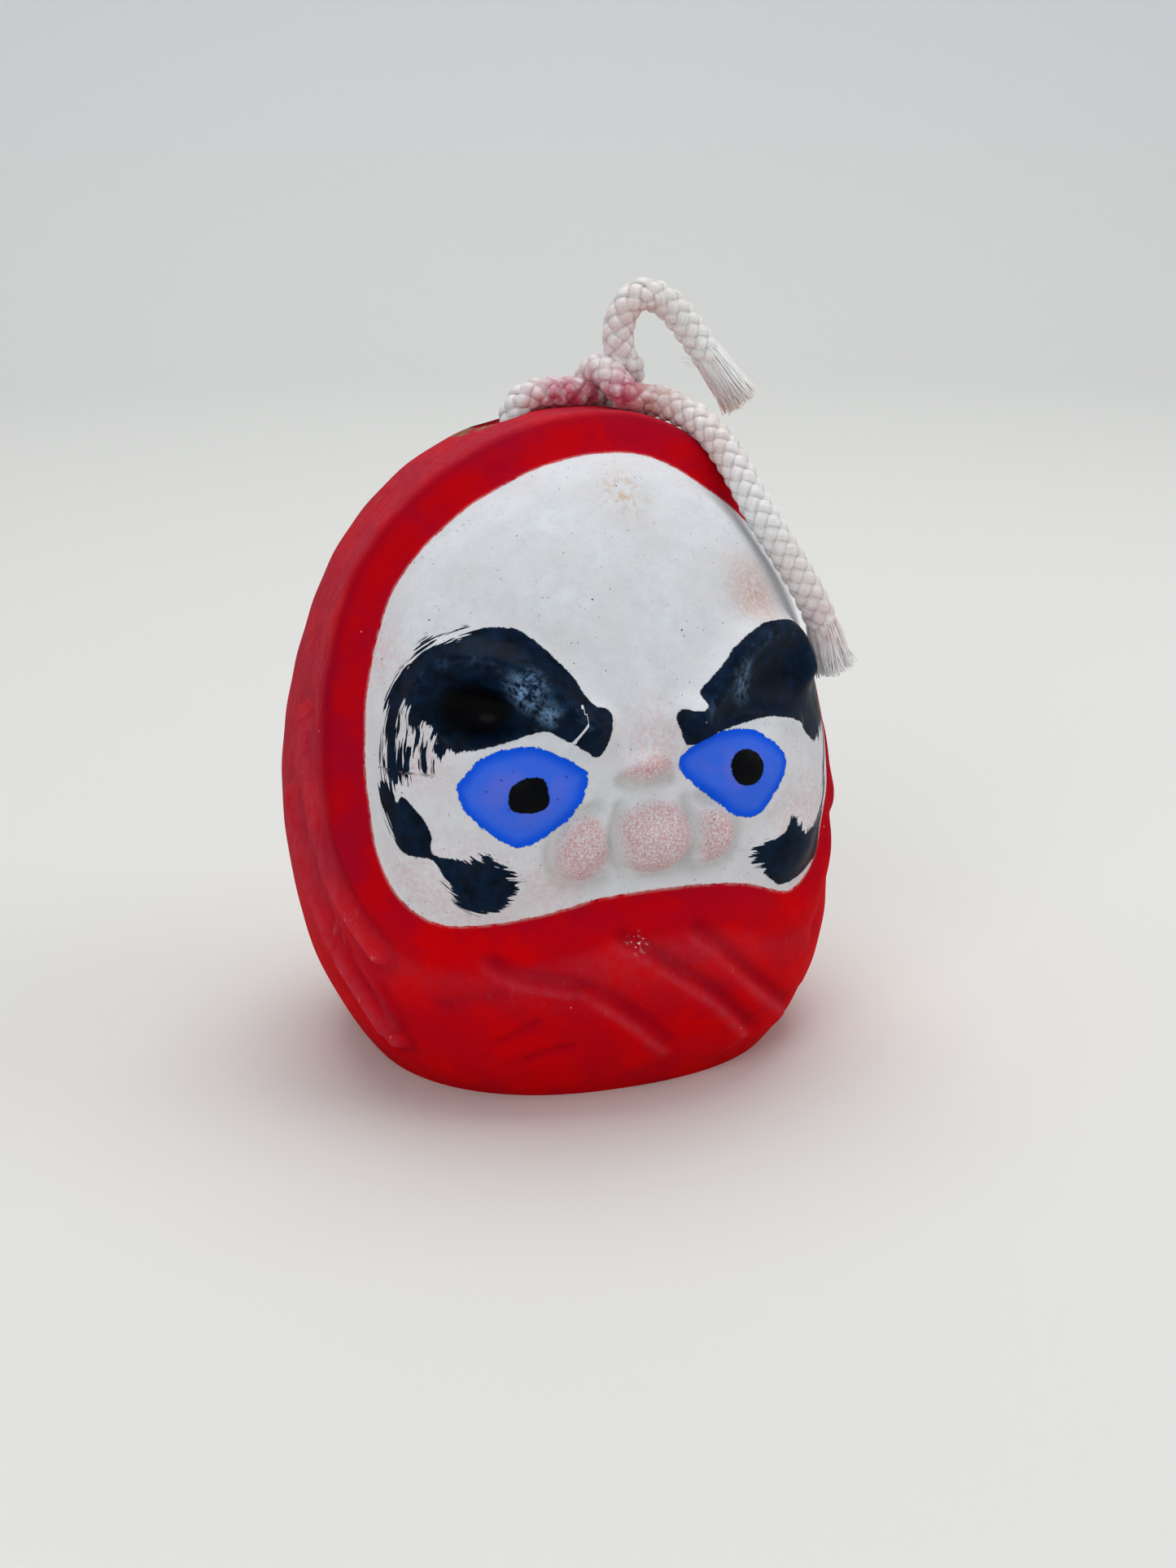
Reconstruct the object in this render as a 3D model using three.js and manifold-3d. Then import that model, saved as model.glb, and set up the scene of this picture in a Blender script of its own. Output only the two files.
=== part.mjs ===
// A daruma bell: two press-moulded halves of fired clay luted together at the sides, a clay pellet
// loose inside, and one braided cord that runs down through two holes in the crown, under the strip
// of clay between them, and is knotted above it.
//
// Millimetres. +Z is up, the face looks along -Y and the origin is the middle of the foot.
import * as THREE from 'three';
import { mergeVertices } from 'three/addons/utils/BufferGeometryUtils.js';
import Module from 'manifold-3d';

const wasm = await Module();
wasm.setup();

// ---- Driving dimensions --------------------------------------------------------------------------

// The clay body.
const HALF_WIDTH = 25.6;
const FRONT_DEPTH = 24.0; // from the seam to the front
const BACK_DEPTH = 22.8; // from the seam to the back
const HEIGHT = 59.0;
const WIDEST_HEIGHT = 23.1; // where the body is widest
const FOOT_HALF_WIDTH = 19.6; // of the flat it stands on
const SWAY = 0.5; // the hand-pressed body bows: the foot to +X, the waist and shoulders to -X
const SWAY_HEIGHTS = { waist: 30, shoulder: 47 }; // full between these, none again at the crown
const CROWN_TILT = 0.09; // rise of the crown towards +X, as a slope
const WALL = 4.0;
const SEAM_GAP = 0.3; // the line of slip between the two halves

// Powers of the superellipses that the body follows: 2 is an ellipse, more is squarer.
const PLAN_POWER = 2.3; // seen from above
const UPPER_POWERS = { rise: 1.75, width: 2.48 }; // seen from the front, above the widest place
const LOWER_POWERS = { rise: 2.65, width: 2.38 }; // and below it

// The sound slit across the lower back, with a round hole at each end.
const SLIT_HEIGHT = 14.4; // of its middle
const SLIT_WIDTH = 3.2;
const SLIT_END_DIAMETER = 8.4;
const SLIT_END_ANGLE = 105; // degrees round from the front

// The pellet, which rolls from side to side about a level axis through the widest place.
const PELLET_DIAMETER = 10.5;
const PELLET_CLEARANCE = 0.3;

// The cord and its two holes.
const CORD_DIAMETER = 2.5;
const CORD_HOLE_DIAMETER = 5.8;
const CORD_HOLE_Y = 3.4;
const CORD_HOLES_X = { left: -4.1, right: 8.4 };
const CORD_GAP = 0.3; // between two stretches that meet, and to the clay
const KNOT_CENTRE = [6.4, 1.3, 60.9];
const KNOT_RADII = [2.9, 3.3, 2.5];
const FRAY = { length: 4.6, widestAt: 2.1, diameter: 3.6, endDiameter: 3.0 }; // the loose fibres

// How finely the surfaces are divided.
const FRONT_COLUMNS = 58;
const BACK_COLUMNS = 22;
const UPPER_ROWS = 28;
const LOWER_ROWS = 14;
const INNER_COLUMNS = 36;
const INNER_ROWS = { upper: 11, lower: 8 };
const CORD_SIDES = 8;
const CORD_STEP = 0.7; // diameters from one ring of a cord to the next
const FRAY_SIDES = 10;
const SLIT_END_SIDES = 28;
const CORD_HOLE_SIDES = 20;
const PELLET_SEGMENTS = { around: 18, down: 12 };
const KNOT_SEGMENTS = { around: 16, down: 10 };

const COLOURS = {
  red: { color: 0xb3202a, roughness: 0.85, metalness: 0 },
  clay: { color: 0x9a6a4c, roughness: 0.95, metalness: 0 },
  cord: { color: 0xf0ece6, roughness: 0.55, metalness: 0 },
};

// ---- The smooth egg ------------------------------------------------------------------------------

const OUTER = {
  halfWidth: HALF_WIDTH,
  frontDepth: FRONT_DEPTH,
  backDepth: BACK_DEPTH,
  top: HEIGHT,
  bottom: 0,
  footHalfWidth: FOOT_HALF_WIDTH,
};

const INNER = {
  halfWidth: HALF_WIDTH - WALL,
  frontDepth: FRONT_DEPTH - WALL,
  backDepth: BACK_DEPTH - WALL,
  top: HEIGHT - WALL,
  bottom: WALL,
  footHalfWidth: 0,
};

// The foot cuts the lower superellipse short, where its turning parameter reaches this angle.
function footTurn(egg) {
  const footShare = egg.footHalfWidth / egg.halfWidth;
  return Math.acos(footShare ** (LOWER_POWERS.width / 2));
}

// Height and share of the full width at a turning parameter: a quarter turn is the crown.
function profile(egg, turn) {
  if (turn >= 0) {
    const rise = Math.sin(turn) ** (2 / UPPER_POWERS.rise);
    return {
      z: WIDEST_HEIGHT + (egg.top - WIDEST_HEIGHT) * rise,
      share: Math.max(Math.cos(turn), 0) ** (2 / UPPER_POWERS.width),
    };
  }
  const last = footTurn(egg);
  const drop = (Math.sin(-turn) / Math.sin(last)) ** (2 / LOWER_POWERS.rise);
  return {
    z: WIDEST_HEIGHT - (WIDEST_HEIGHT - egg.bottom) * drop,
    share: Math.max(Math.cos(turn), 0) ** (2 / LOWER_POWERS.width),
  };
}

// The share of the full width at a height.
function shareAtHeight(egg, z) {
  if (z >= WIDEST_HEIGHT) {
    const rise = Math.min((z - WIDEST_HEIGHT) / (egg.top - WIDEST_HEIGHT), 1);
    return (1 - rise ** UPPER_POWERS.rise) ** (1 / UPPER_POWERS.width);
  }
  const drop = (WIDEST_HEIGHT - z) / (WIDEST_HEIGHT - egg.bottom);
  const sine = Math.min(drop, 1) ** (LOWER_POWERS.rise / 2) * Math.sin(footTurn(egg));
  return (1 - sine * sine) ** (1 / LOWER_POWERS.width);
}

function swayAt(z) {
  const { waist, shoulder } = SWAY_HEIGHTS;
  if (z < waist) return SWAY * Math.cos((Math.PI * z) / waist);
  return -SWAY * (1 - THREE.MathUtils.smoothstep(z, shoulder, HEIGHT));
}

// The small lean that sets the outside of the body off its middle line.
function leaned(point) {
  const rise = Math.max((point.z - WIDEST_HEIGHT) / (HEIGHT - WIDEST_HEIGHT), 0);
  const tilt = CROWN_TILT * point.x * rise ** 4;
  return new THREE.Vector3(point.x + swayAt(point.z), point.y, point.z + tilt);
}

// The level outline at an angle round from the front, for a share of the full width.
function onPlan(egg, angle, share, z) {
  const sine = Math.sin(angle);
  const cosine = Math.cos(angle);
  const depth = cosine > 0 ? egg.frontDepth : egg.backDepth;
  const across = Math.abs(sine / egg.halfWidth) ** PLAN_POWER;
  const along = Math.abs(cosine / depth) ** PLAN_POWER;
  const radius = share / (across + along) ** (1 / PLAN_POWER);
  return new THREE.Vector3(radius * sine, -radius * cosine, z);
}

function eggPoint(egg, angle, turn) {
  const { z, share } = profile(egg, turn);
  return onPlan(egg, angle, share, z);
}

// The outside of the clay before its relief.
function bodyPoint(angle, turn) {
  return leaned(eggPoint(OUTER, angle, turn));
}

// The outward normal, from two small steps along the surface.
function bodyNormal(angle, turn) {
  const step = 1e-3;
  const low = bodyPoint(angle, turn - step);
  const high = bodyPoint(angle, Math.min(turn + step, Math.PI / 2));
  const before = bodyPoint(angle - step, turn);
  const after = bodyPoint(angle + step, turn);
  return after.sub(before).cross(high.sub(low)).normalize();
}

// A point of the front surface, given as it is seen from the front.
function frontPoint([x, z]) {
  const share = shareAtHeight(OUTER, z);
  const middle = x - swayAt(z);
  const across = Math.min(Math.abs(middle) / (HALF_WIDTH * share), 1);
  const y = -FRONT_DEPTH * share * (1 - across ** PLAN_POWER) ** (1 / PLAN_POWER);
  return leaned(new THREE.Vector3(middle, y, z));
}

// A point of the side, given by its angle round from the front in degrees and its height.
function sidePoint([degrees, z]) {
  return leaned(onPlan(OUTER, THREE.MathUtils.degToRad(degrees), shareAtHeight(OUTER, z), z));
}

// ---- Relief of the mould: what stands proud of the egg or sinks into it -----------------------------

// The half outline of the white face, from the top of the brow to the middle of the collar.
const FACE_HALF = [
  [0, 56.7], [8.3, 55.0], [15.4, 50.3], [19.3, 44.5], [21.6, 37.3], [22.3, 30.5],
  [21.6, 24.2], [19.6, 20.2], [16.6, 18.2], [12.4, 18.9], [7.6, 20.2], [0, 21.2],
];
const RIM = { depth: 0.9, crest: 0.55, crestAt: 3.6, fadeOut: 9, fadeIn: 4.5 };
const COLLAR = { depth: 0.3, crest: 0.25, crestAt: 2.2, lowest: 17, highest: 26 };

// Long soft ridges, each a line, a height (a sink is negative) and a breadth. Mirrored left to right.
const BROW = { line: [[4.6, 35.4], [6.8, 38.4], [10, 40.8], [13.6, 41.2], [16.6, 39.2], [17.6, 36.4]],
  height: 1.3, breadth: 2.1 };
const UPPER_LID = { line: [[6.2, 34], [11, 34.9], [16.4, 32.7]], height: 0.35, breadth: 0.9 };
const HOOD_RIDGES = [
  { line: [[74, 31], [80, 26], [75, 20.6], [64, 15.5]], height: 0.5, breadth: 1.6 },
  { line: [[92, 27], [91, 21.8], [84, 16.7], [72, 12.6]], height: 0.45, breadth: 1.5 },
];

// The nick on the right flank where the hood's edge meets the sleeve.
const FLANK_NICK = { line: [[66, 20], [60, 15.5], [52, 12.6]], height: -0.9, breadth: 1.7 };

// Round swellings: middle, half sizes, height. The mirrored ones come as a pair.
const BUMP_POWER = 1.5; // of the fall from a swelling's middle to its edge
const PAIRED_BUMPS = [
  { at: [10.3, 30.2], size: [5.8, 4.6], height: 1.1 }, // eyeball
  { at: [4.0, 35.1], size: [2.2, 2.8], height: 0.9 }, // knob at the inner end of the brow
  { at: [12, 36.8], size: [3.4, 2.2], height: -0.5 }, // hollow under the brow
  { at: [6.1, 25.2], size: [2.9, 3.4], height: 1.5 }, // wing of the nose
  { at: [14.8, 21.6], size: [5.0, 4.0], height: 0.9 }, // cheek
];
const MIDDLE_BUMPS = [
  { at: [0.7, 25.5], size: [3.9, 3.7], height: 2.2 }, // ball of the nose
  { at: [0.1, 31.8], size: [3.0, 1.8], height: 0.9 }, // wrinkle across the bridge
  { at: [0.2, 34.5], size: [2.6, 6.5], height: 0.6 }, // bridge
];

// Folds of the robe: the edge of one layer over the next, which falls away on its upper right.
const FOLD = { crest: 0.5, crestBreadth: 0.9, groove: 0.75, grooveAt: 1.3, grooveBreadth: 1.1 };
const FOLDS = [
  [[0.9, 17.8], [5.8, 15.6], [10.1, 10.8], [15.6, 4.6]],
  [[-2.3, 15.4], [3.1, 11.1], [7.3, 7.8], [12.2, 2.4]],
  [[-6.1, 11.7], [-2.9, 10.6], [0.8, 7.5], [4.1, 3.1]],
  [[-14.6, 16.7], [-11.6, 14.0], [-7.9, 13.6], [-5.9, 12.2]],
  [[-23.1, 14.4], [-21.8, 11.1], [-19.6, 5.8]],
];

// A smooth line over the surface through a few given points.
function surfaceLine(points, place) {
  const stepsEach = 6;
  const curve = new THREE.CatmullRomCurve3(points.map(place), false, 'centripetal');
  return curve.getPoints(stepsEach * (points.length - 1));
}

function mirrored(points) {
  return points.map(([x, z]) => [-x, z]);
}

function ridgeLines({ line, height, breadth }, place) {
  return [line, mirrored(line)].map((points) => ({
    points: surfaceLine(points, place), height, breadth,
  }));
}

const faceOutline = surfaceLine([...FACE_HALF, ...mirrored(FACE_HALF.slice(1, -1)).reverse(),
  FACE_HALF[0]], frontPoint);
const softRidges = [...ridgeLines(BROW, frontPoint), ...ridgeLines(UPPER_LID, frontPoint),
  ...HOOD_RIDGES.flatMap((ridge) => ridgeLines(ridge, sidePoint)),
  ridgeLines(FLANK_NICK, sidePoint)[0]];
const roundBumps = [...MIDDLE_BUMPS, ...PAIRED_BUMPS,
  ...PAIRED_BUMPS.map((bump) => ({ ...bump, at: [-bump.at[0], bump.at[1]] }))];
const foldLines = FOLDS.map((points) => surfaceLine(points, frontPoint));

const segment = new THREE.Line3();
const nearest = new THREE.Vector3();

// The distance to a line over the surface, and the side: positive is to the left going along it.
function nearestOnLine(point, points, normal) {
  let best = { distance: Infinity, side: 1 };
  for (let i = 0; i + 1 < points.length; i += 1) {
    segment.set(points[i], points[i + 1]);
    segment.closestPointToPoint(point, true, nearest);
    const distance = nearest.distanceTo(point);
    if (distance < best.distance) {
      const along = points[i + 1].clone().sub(points[i]);
      const away = point.clone().sub(nearest);
      best = { distance, side: Math.sign(along.cross(away).dot(normal)) || 1 };
    }
  }
  return best;
}

function insideFace(point) {
  if (point.y >= 0) return false;
  let inside = false;
  for (let i = 0; i + 1 < faceOutline.length; i += 1) {
    const [a, b] = [faceOutline[i], faceOutline[i + 1]];
    const crosses = (a.z > point.z) !== (b.z > point.z);
    if (crosses && point.x < a.x + ((point.z - a.z) / (b.z - a.z)) * (b.x - a.x)) inside = !inside;
  }
  return inside;
}

function bell(distance, breadth) {
  return Math.exp(-((distance / breadth) ** 2));
}

// The hood's rim: a valley along the face's outline, a crest outside it, and a fade both ways.
function rimRelief(point, normal) {
  const { distance } = nearestOnLine(point, faceOutline, normal);
  if (insideFace(point)) {
    return -RIM.depth * THREE.MathUtils.smoothstep(RIM.fadeIn - distance, 0, RIM.fadeIn);
  }
  const hood = THREE.MathUtils.smoothstep(point.z, COLLAR.lowest, COLLAR.highest);
  const crestAt = THREE.MathUtils.lerp(COLLAR.crestAt, RIM.crestAt, hood);
  const crest = THREE.MathUtils.lerp(COLLAR.crest, RIM.crest, hood);
  const depth = THREE.MathUtils.lerp(COLLAR.depth, RIM.depth, hood);
  if (distance < crestAt) {
    return THREE.MathUtils.lerp(-depth, crest, THREE.MathUtils.smoothstep(distance, 0, crestAt));
  }
  return crest * (1 - THREE.MathUtils.smoothstep(distance, crestAt, RIM.fadeOut));
}

function bumpRelief(point, bumps) {
  if (point.y >= 0) return 0;
  return bumps.reduce((sum, { at, size, height }) => {
    const far = ((point.x - at[0]) / size[0]) ** 2 + ((point.z - at[1]) / size[1]) ** 2;
    return far < 1 ? sum + height * (1 - far) ** BUMP_POWER : sum;
  }, 0);
}

function foldRelief(point, normal) {
  return foldLines.reduce((sum, points) => {
    const { distance, side } = nearestOnLine(point, points, normal);
    const crest = FOLD.crest * bell(distance, FOLD.crestBreadth);
    if (side < 0) return sum + crest;
    return sum + crest - FOLD.groove * bell(distance - FOLD.grooveAt, FOLD.grooveBreadth);
  }, 0);
}

function relief(point, normal) {
  const ridges = softRidges.reduce((sum, { points, height, breadth }) => (
    sum + height * bell(nearestOnLine(point, points, normal).distance, breadth)), 0);
  return rimRelief(point, normal) + ridges + bumpRelief(point, roundBumps) + foldRelief(point, normal);
}

// ---- Solids --------------------------------------------------------------------------------------

function toSolid(geometry) {
  const bare = geometry.clone();
  bare.deleteAttribute('normal');
  bare.deleteAttribute('uv');
  const merged = mergeVertices(bare, 1e-4);
  return new wasm.Manifold(new wasm.Mesh({
    numProp: 3,
    vertProperties: new Float32Array(merged.attributes.position.array),
    triVerts: new Uint32Array(merged.index.array),
  }));
}

function toGeometry(solid) {
  const mesh = solid.getMesh();
  const geometry = new THREE.BufferGeometry();
  geometry.setAttribute('position', new THREE.BufferAttribute(new Float32Array(mesh.vertProperties), 3));
  geometry.setIndex(new THREE.BufferAttribute(new Uint32Array(mesh.triVerts), 1));
  geometry.computeVertexNormals();
  return geometry;
}

function boxSolid(low, high) {
  const size = high.map((value, axis) => value - low[axis]);
  const geometry = new THREE.BoxGeometry(...size);
  geometry.translate(...low.map((value, axis) => value + size[axis] / 2));
  return toSolid(geometry);
}

// Rows of points closed at the bottom and the top, each row once round, as one outward-facing body.
function closedRows(rows, bottom, top) {
  const columns = rows[0].length;
  const positions = [...rows.flat(), bottom, top].flatMap((point) => point.toArray());
  const bottomIndex = rows.length * columns;
  const faces = [];
  for (let column = 0; column < columns; column += 1) {
    const next = (column + 1) % columns;
    faces.push(bottomIndex, next, column);
    for (let row = 0; row + 1 < rows.length; row += 1) {
      const [a, b] = [row * columns + column, row * columns + next];
      faces.push(a, b, b + columns, a, b + columns, a + columns);
    }
    const last = (rows.length - 1) * columns;
    faces.push(last + column, last + next, bottomIndex + 1);
  }
  const geometry = new THREE.BufferGeometry();
  geometry.setAttribute('position', new THREE.Float32BufferAttribute(positions, 3));
  geometry.setIndex(faces);
  return toSolid(geometry);
}

// Angles once round from the middle of the back, closer together across the front.
function outerAngles() {
  const front = Array.from({ length: FRONT_COLUMNS }, (_, i) => -0.5 + i / FRONT_COLUMNS);
  const back = Array.from({ length: BACK_COLUMNS }, (_, i) => 0.5 + i / BACK_COLUMNS);
  return [...front, ...back].map((share) => share * Math.PI);
}

function turns(egg, rows) {
  const foot = -footTurn(egg);
  const lower = Array.from({ length: rows.lower }, (_, i) => foot * (1 - i / rows.lower));
  const upper = Array.from({ length: rows.upper }, (_, i) => (i / rows.upper) * (Math.PI / 2));
  return [...lower, ...upper];
}

// The outside of the body with its relief, grown by a clearance.
function outerSolid(clearance) {
  const angles = outerAngles();
  const rows = turns(OUTER, { upper: UPPER_ROWS, lower: LOWER_ROWS }).map((turn, row) => (
    angles.map((angle) => {
      const point = bodyPoint(angle, turn);
      const normal = bodyNormal(angle, turn);
      const height = row === 0 ? 0 : relief(point, normal);
      point.addScaledVector(normal, height + clearance);
      if (row === 0) point.z = -clearance;
      return point;
    })));
  const bottom = new THREE.Vector3(0, 0, -clearance);
  const top = leaned(new THREE.Vector3(0, 0, HEIGHT + clearance));
  return closedRows(rows, bottom, top);
}

function cavitySolid() {
  const angles = Array.from({ length: INNER_COLUMNS }, (_, i) => (i / INNER_COLUMNS) * 2 * Math.PI);
  const rows = turns(INNER, INNER_ROWS).slice(1).map((turn) => (
    angles.map((angle) => eggPoint(INNER, angle, turn))));
  return closedRows(rows, new THREE.Vector3(0, 0, INNER.bottom), new THREE.Vector3(0, 0, INNER.top));
}

// A level slot across the back at one height, whose sides are the two end holes' middle lines.
function slitCutter() {
  const reach = 2 * HALF_WIDTH;
  const endAngle = THREE.MathUtils.degToRad(SLIT_END_ANGLE);
  const corners = [[0, 0], [Math.sin(endAngle), -Math.cos(endAngle)], [1, 2], [-1, 2],
    [-Math.sin(endAngle), -Math.cos(endAngle)]];
  const outline = new THREE.Shape(corners.map(([x, y]) => new THREE.Vector2(x * reach, y * reach)));
  const geometry = new THREE.ExtrudeGeometry(outline, { depth: SLIT_WIDTH, bevelEnabled: false });
  geometry.translate(0, 0, SLIT_HEIGHT - SLIT_WIDTH / 2);
  return toSolid(geometry);
}

// A round hole outwards from the middle of the body, at an angle round from the front.
function slitEndCutter(angle) {
  const length = HALF_WIDTH;
  const radius = SLIT_END_DIAMETER / 2;
  const geometry = new THREE.CylinderGeometry(radius, radius, length, SLIT_END_SIDES);
  geometry.rotateZ(Math.PI / 2);
  geometry.translate(HALF_WIDTH / 2 + length / 2, 0, 0);
  geometry.rotateZ(angle - Math.PI / 2);
  geometry.translate(0, 0, SLIT_HEIGHT);
  return toSolid(geometry);
}

function cordHoleCutter(x, diameter) {
  const depth = 4 * WALL;
  const geometry = new THREE.CylinderGeometry(diameter / 2, diameter / 2, depth, CORD_HOLE_SIDES);
  geometry.rotateX(Math.PI / 2);
  geometry.translate(x, CORD_HOLE_Y, HEIGHT - WALL / 2);
  return toSolid(geometry);
}

function shellSolid() {
  const endAngle = THREE.MathUtils.degToRad(SLIT_END_ANGLE);
  return [cavitySolid(), slitCutter(), slitEndCutter(endAngle), slitEndCutter(-endAngle),
    cordHoleCutter(CORD_HOLES_X.left, CORD_HOLE_DIAMETER),
    cordHoleCutter(CORD_HOLES_X.right, CORD_HOLE_DIAMETER)]
    .reduce((solid, cutter) => solid.subtract(cutter), outerSolid(0));
}

function halfSpace(side) {
  const reach = 2 * HEIGHT;
  const near = SEAM_GAP / 2;
  const [low, high] = side < 0 ? [-reach, -near] : [near, reach];
  return boxSolid([-reach, low, -reach], [reach, high, reach]);
}

// ---- The cord --------------------------------------------------------------------------------------

// The middle line of each stretch. The two legs come up out of the holes and meet in the knot.
const UNDER_BRIDGE = [
  [-2.8, 3.4, 53.5], [-2.2, 3.4, 52.1], [-0.6, 3.4, 51.1], [1.2, 3.4, 50.7], [2.8, 3.4, 50.6],
  [4.4, 3.4, 50.7], [6.2, 3.4, 51.1], [7.8, 3.4, 52.1], [8.4, 3.4, 53.5],
];
const LEFT_LEG = [
  [-2.8, 3.4, 54.1], [-2.8, 3.4, 57.2], [-2.5, 3.4, 58.8], [-1.7, 3.2, 59.8], [-0.5, 3.0, 60.2],
  [1.0, 2.7, 60.3], [2.6, 2.3, 60.3], [3.6, 2.0, 60.4],
];
const RIGHT_LEG = [[8.4, 3.4, 54.1], [8.4, 3.4, 56.4], [8.1, 3.2, 58.4]];
const TAIL_UP = [
  [6.7, 0.9, 63.3], [6.5, 0.8, 65.2], [6.8, 0.8, 67.0], [7.7, 0.8, 68.4], [9.2, 0.8, 69.0],
  [11.1, 0.7, 68.2], [12.5, 0.6, 66.8], [14.1, 0.4, 64.7], [16.0, 0.2, 62.1],
];
const TAIL_DOWN = [
  [8.8, -1.4, 59.9], [10.4, -3.4, 59.2], [11.9, -5.8, 58.0], [13.1, -8.4, 56.0], [14.1, -10.4, 53.5],
  [15.1, -11.9, 50.8], [16.4, -12.7, 48.5], [17.8, -13.3, 46.1], [19.2, -13.7, 43.6],
  [20.5, -13.8, 40.9], [21.2, -13.8, 38.7],
];

function cordSection() {
  const outline = new THREE.Shape();
  for (let i = 0; i < CORD_SIDES; i += 1) {
    const angle = (i / CORD_SIDES) * 2 * Math.PI;
    const [x, y] = [Math.cos(angle), Math.sin(angle)].map((share) => share * CORD_DIAMETER / 2);
    if (i === 0) outline.moveTo(x, y);
    else outline.lineTo(x, y);
  }
  outline.closePath();
  return outline;
}

function cordSolid(route) {
  const path = new THREE.CatmullRomCurve3(route.map((point) => new THREE.Vector3(...point)));
  const steps = Math.max(Math.ceil(path.getLength() / (CORD_STEP * CORD_DIAMETER)), 3);
  return toSolid(new THREE.ExtrudeGeometry(cordSection(), {
    steps, extrudePath: path, bevelEnabled: false,
  }));
}

// The loose fibres beyond the end of a route: they start at the cord's width and spread.
function fraySolid(route) {
  const end = new THREE.Vector3(...route.at(-1));
  const along = end.clone().sub(new THREE.Vector3(...route.at(-2))).normalize();
  const outline = [[0, 0], [CORD_DIAMETER / 2, 0], [FRAY.diameter / 2, FRAY.widestAt],
    [FRAY.endDiameter / 2, FRAY.length], [0, FRAY.length]].map(([r, h]) => new THREE.Vector2(r, h));
  const geometry = new THREE.LatheGeometry(outline, FRAY_SIDES);
  const turn = new THREE.Quaternion().setFromUnitVectors(new THREE.Vector3(0, 1, 0), along);
  geometry.applyQuaternion(turn);
  geometry.translate(...end.addScaledVector(along, CORD_GAP).toArray());
  return toSolid(geometry);
}

function knotSolid(growth) {
  const geometry = new THREE.SphereGeometry(1, KNOT_SEGMENTS.around, KNOT_SEGMENTS.down);
  geometry.scale(...KNOT_RADII.map((radius) => radius + growth));
  geometry.translate(...KNOT_CENTRE);
  return toSolid(geometry);
}

function pelletGeometry() {
  const { around, down } = PELLET_SEGMENTS;
  const geometry = new THREE.SphereGeometry(PELLET_DIAMETER / 2, around, down);
  geometry.rotateX(Math.PI / 2);
  geometry.translate(0, 0, INNER.bottom + PELLET_CLEARANCE + PELLET_DIAMETER / 2);
  return geometry;
}

// ---- Assembly --------------------------------------------------------------------------------------

const group = new THREE.Group();

function addPart(name, geometry, colour) {
  const mesh = new THREE.Mesh(geometry, new THREE.MeshStandardMaterial(COLOURS[colour]));
  mesh.name = name;
  group.add(mesh);
}

function addShell() {
  const shell = shellSolid();
  addPart('front_half', toGeometry(shell.intersect(halfSpace(-1))), 'red');
  addPart('back_half', toGeometry(shell.intersect(halfSpace(1))), 'red');
}

// The clay grown by the cord's gap, with the two holes left open for it.
function claySpace() {
  const diameter = CORD_HOLE_DIAMETER - 2 * CORD_GAP;
  return [cordHoleCutter(CORD_HOLES_X.left, diameter), cordHoleCutter(CORD_HOLES_X.right, diameter)]
    .reduce((solid, cutter) => solid.subtract(cutter), outerSolid(CORD_GAP));
}

function addCord() {
  const clay = claySpace();
  const knotSpace = knotSolid(CORD_GAP);
  const trimmed = (route) => toGeometry(cordSolid(route).subtract(knotSpace).subtract(clay));
  addPart('cord_knot', toGeometry(knotSolid(0).subtract(clay)), 'cord');
  addPart('cord_under_bridge', toGeometry(cordSolid(UNDER_BRIDGE)), 'cord');
  addPart('cord_left_leg', trimmed(LEFT_LEG), 'cord');
  addPart('cord_right_leg', trimmed(RIGHT_LEG), 'cord');
  addPart('cord_tail_up', trimmed(TAIL_UP), 'cord');
  addPart('cord_tail_down', trimmed(TAIL_DOWN), 'cord');
  addPart('cord_fray_up', toGeometry(fraySolid(TAIL_UP)), 'cord');
  addPart('cord_fray_down', toGeometry(fraySolid(TAIL_DOWN)), 'cord');
}

addShell();
addPart('pellet', pelletGeometry(), 'clay');
addCord();

export default group;
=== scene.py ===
import math
import random

import bmesh
import bpy
import numpy as np
from mathutils import Matrix, Vector
from mathutils.kdtree import KDTree


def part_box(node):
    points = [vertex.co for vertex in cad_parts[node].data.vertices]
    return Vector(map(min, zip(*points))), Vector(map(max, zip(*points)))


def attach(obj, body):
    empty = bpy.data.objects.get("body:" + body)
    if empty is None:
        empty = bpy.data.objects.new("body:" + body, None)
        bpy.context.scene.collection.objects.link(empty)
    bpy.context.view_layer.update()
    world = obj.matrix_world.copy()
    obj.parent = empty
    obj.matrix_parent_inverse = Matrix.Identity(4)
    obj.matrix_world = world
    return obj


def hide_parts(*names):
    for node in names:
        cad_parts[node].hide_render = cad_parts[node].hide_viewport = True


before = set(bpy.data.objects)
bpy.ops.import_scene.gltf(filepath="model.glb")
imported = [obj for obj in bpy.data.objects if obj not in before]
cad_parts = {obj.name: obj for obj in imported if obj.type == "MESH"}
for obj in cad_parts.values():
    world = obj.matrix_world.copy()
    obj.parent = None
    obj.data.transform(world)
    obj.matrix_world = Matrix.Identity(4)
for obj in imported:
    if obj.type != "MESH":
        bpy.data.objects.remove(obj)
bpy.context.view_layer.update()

# The looks of a daruma bell: two halves of painted clay, a pellet inside and a knotted braided cord.
# Lengths are in millimetres up to the point where a mesh is made, and the frame is the CAD model's.
MM = 0.001

# ---- Camera ----

CAMERA_AZIMUTH = -19.5
CAMERA_ELEVATION = 17.5
CAMERA_ROLL = -0.456
CAMERA_DISTANCE = 205.72
CAMERA_ANGLE = 40  # across the picture's long side
TARGET_RIGHT = 2.803  # of the middle line, as the camera sees it
TARGET_HEIGHT = 23.54


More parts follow.
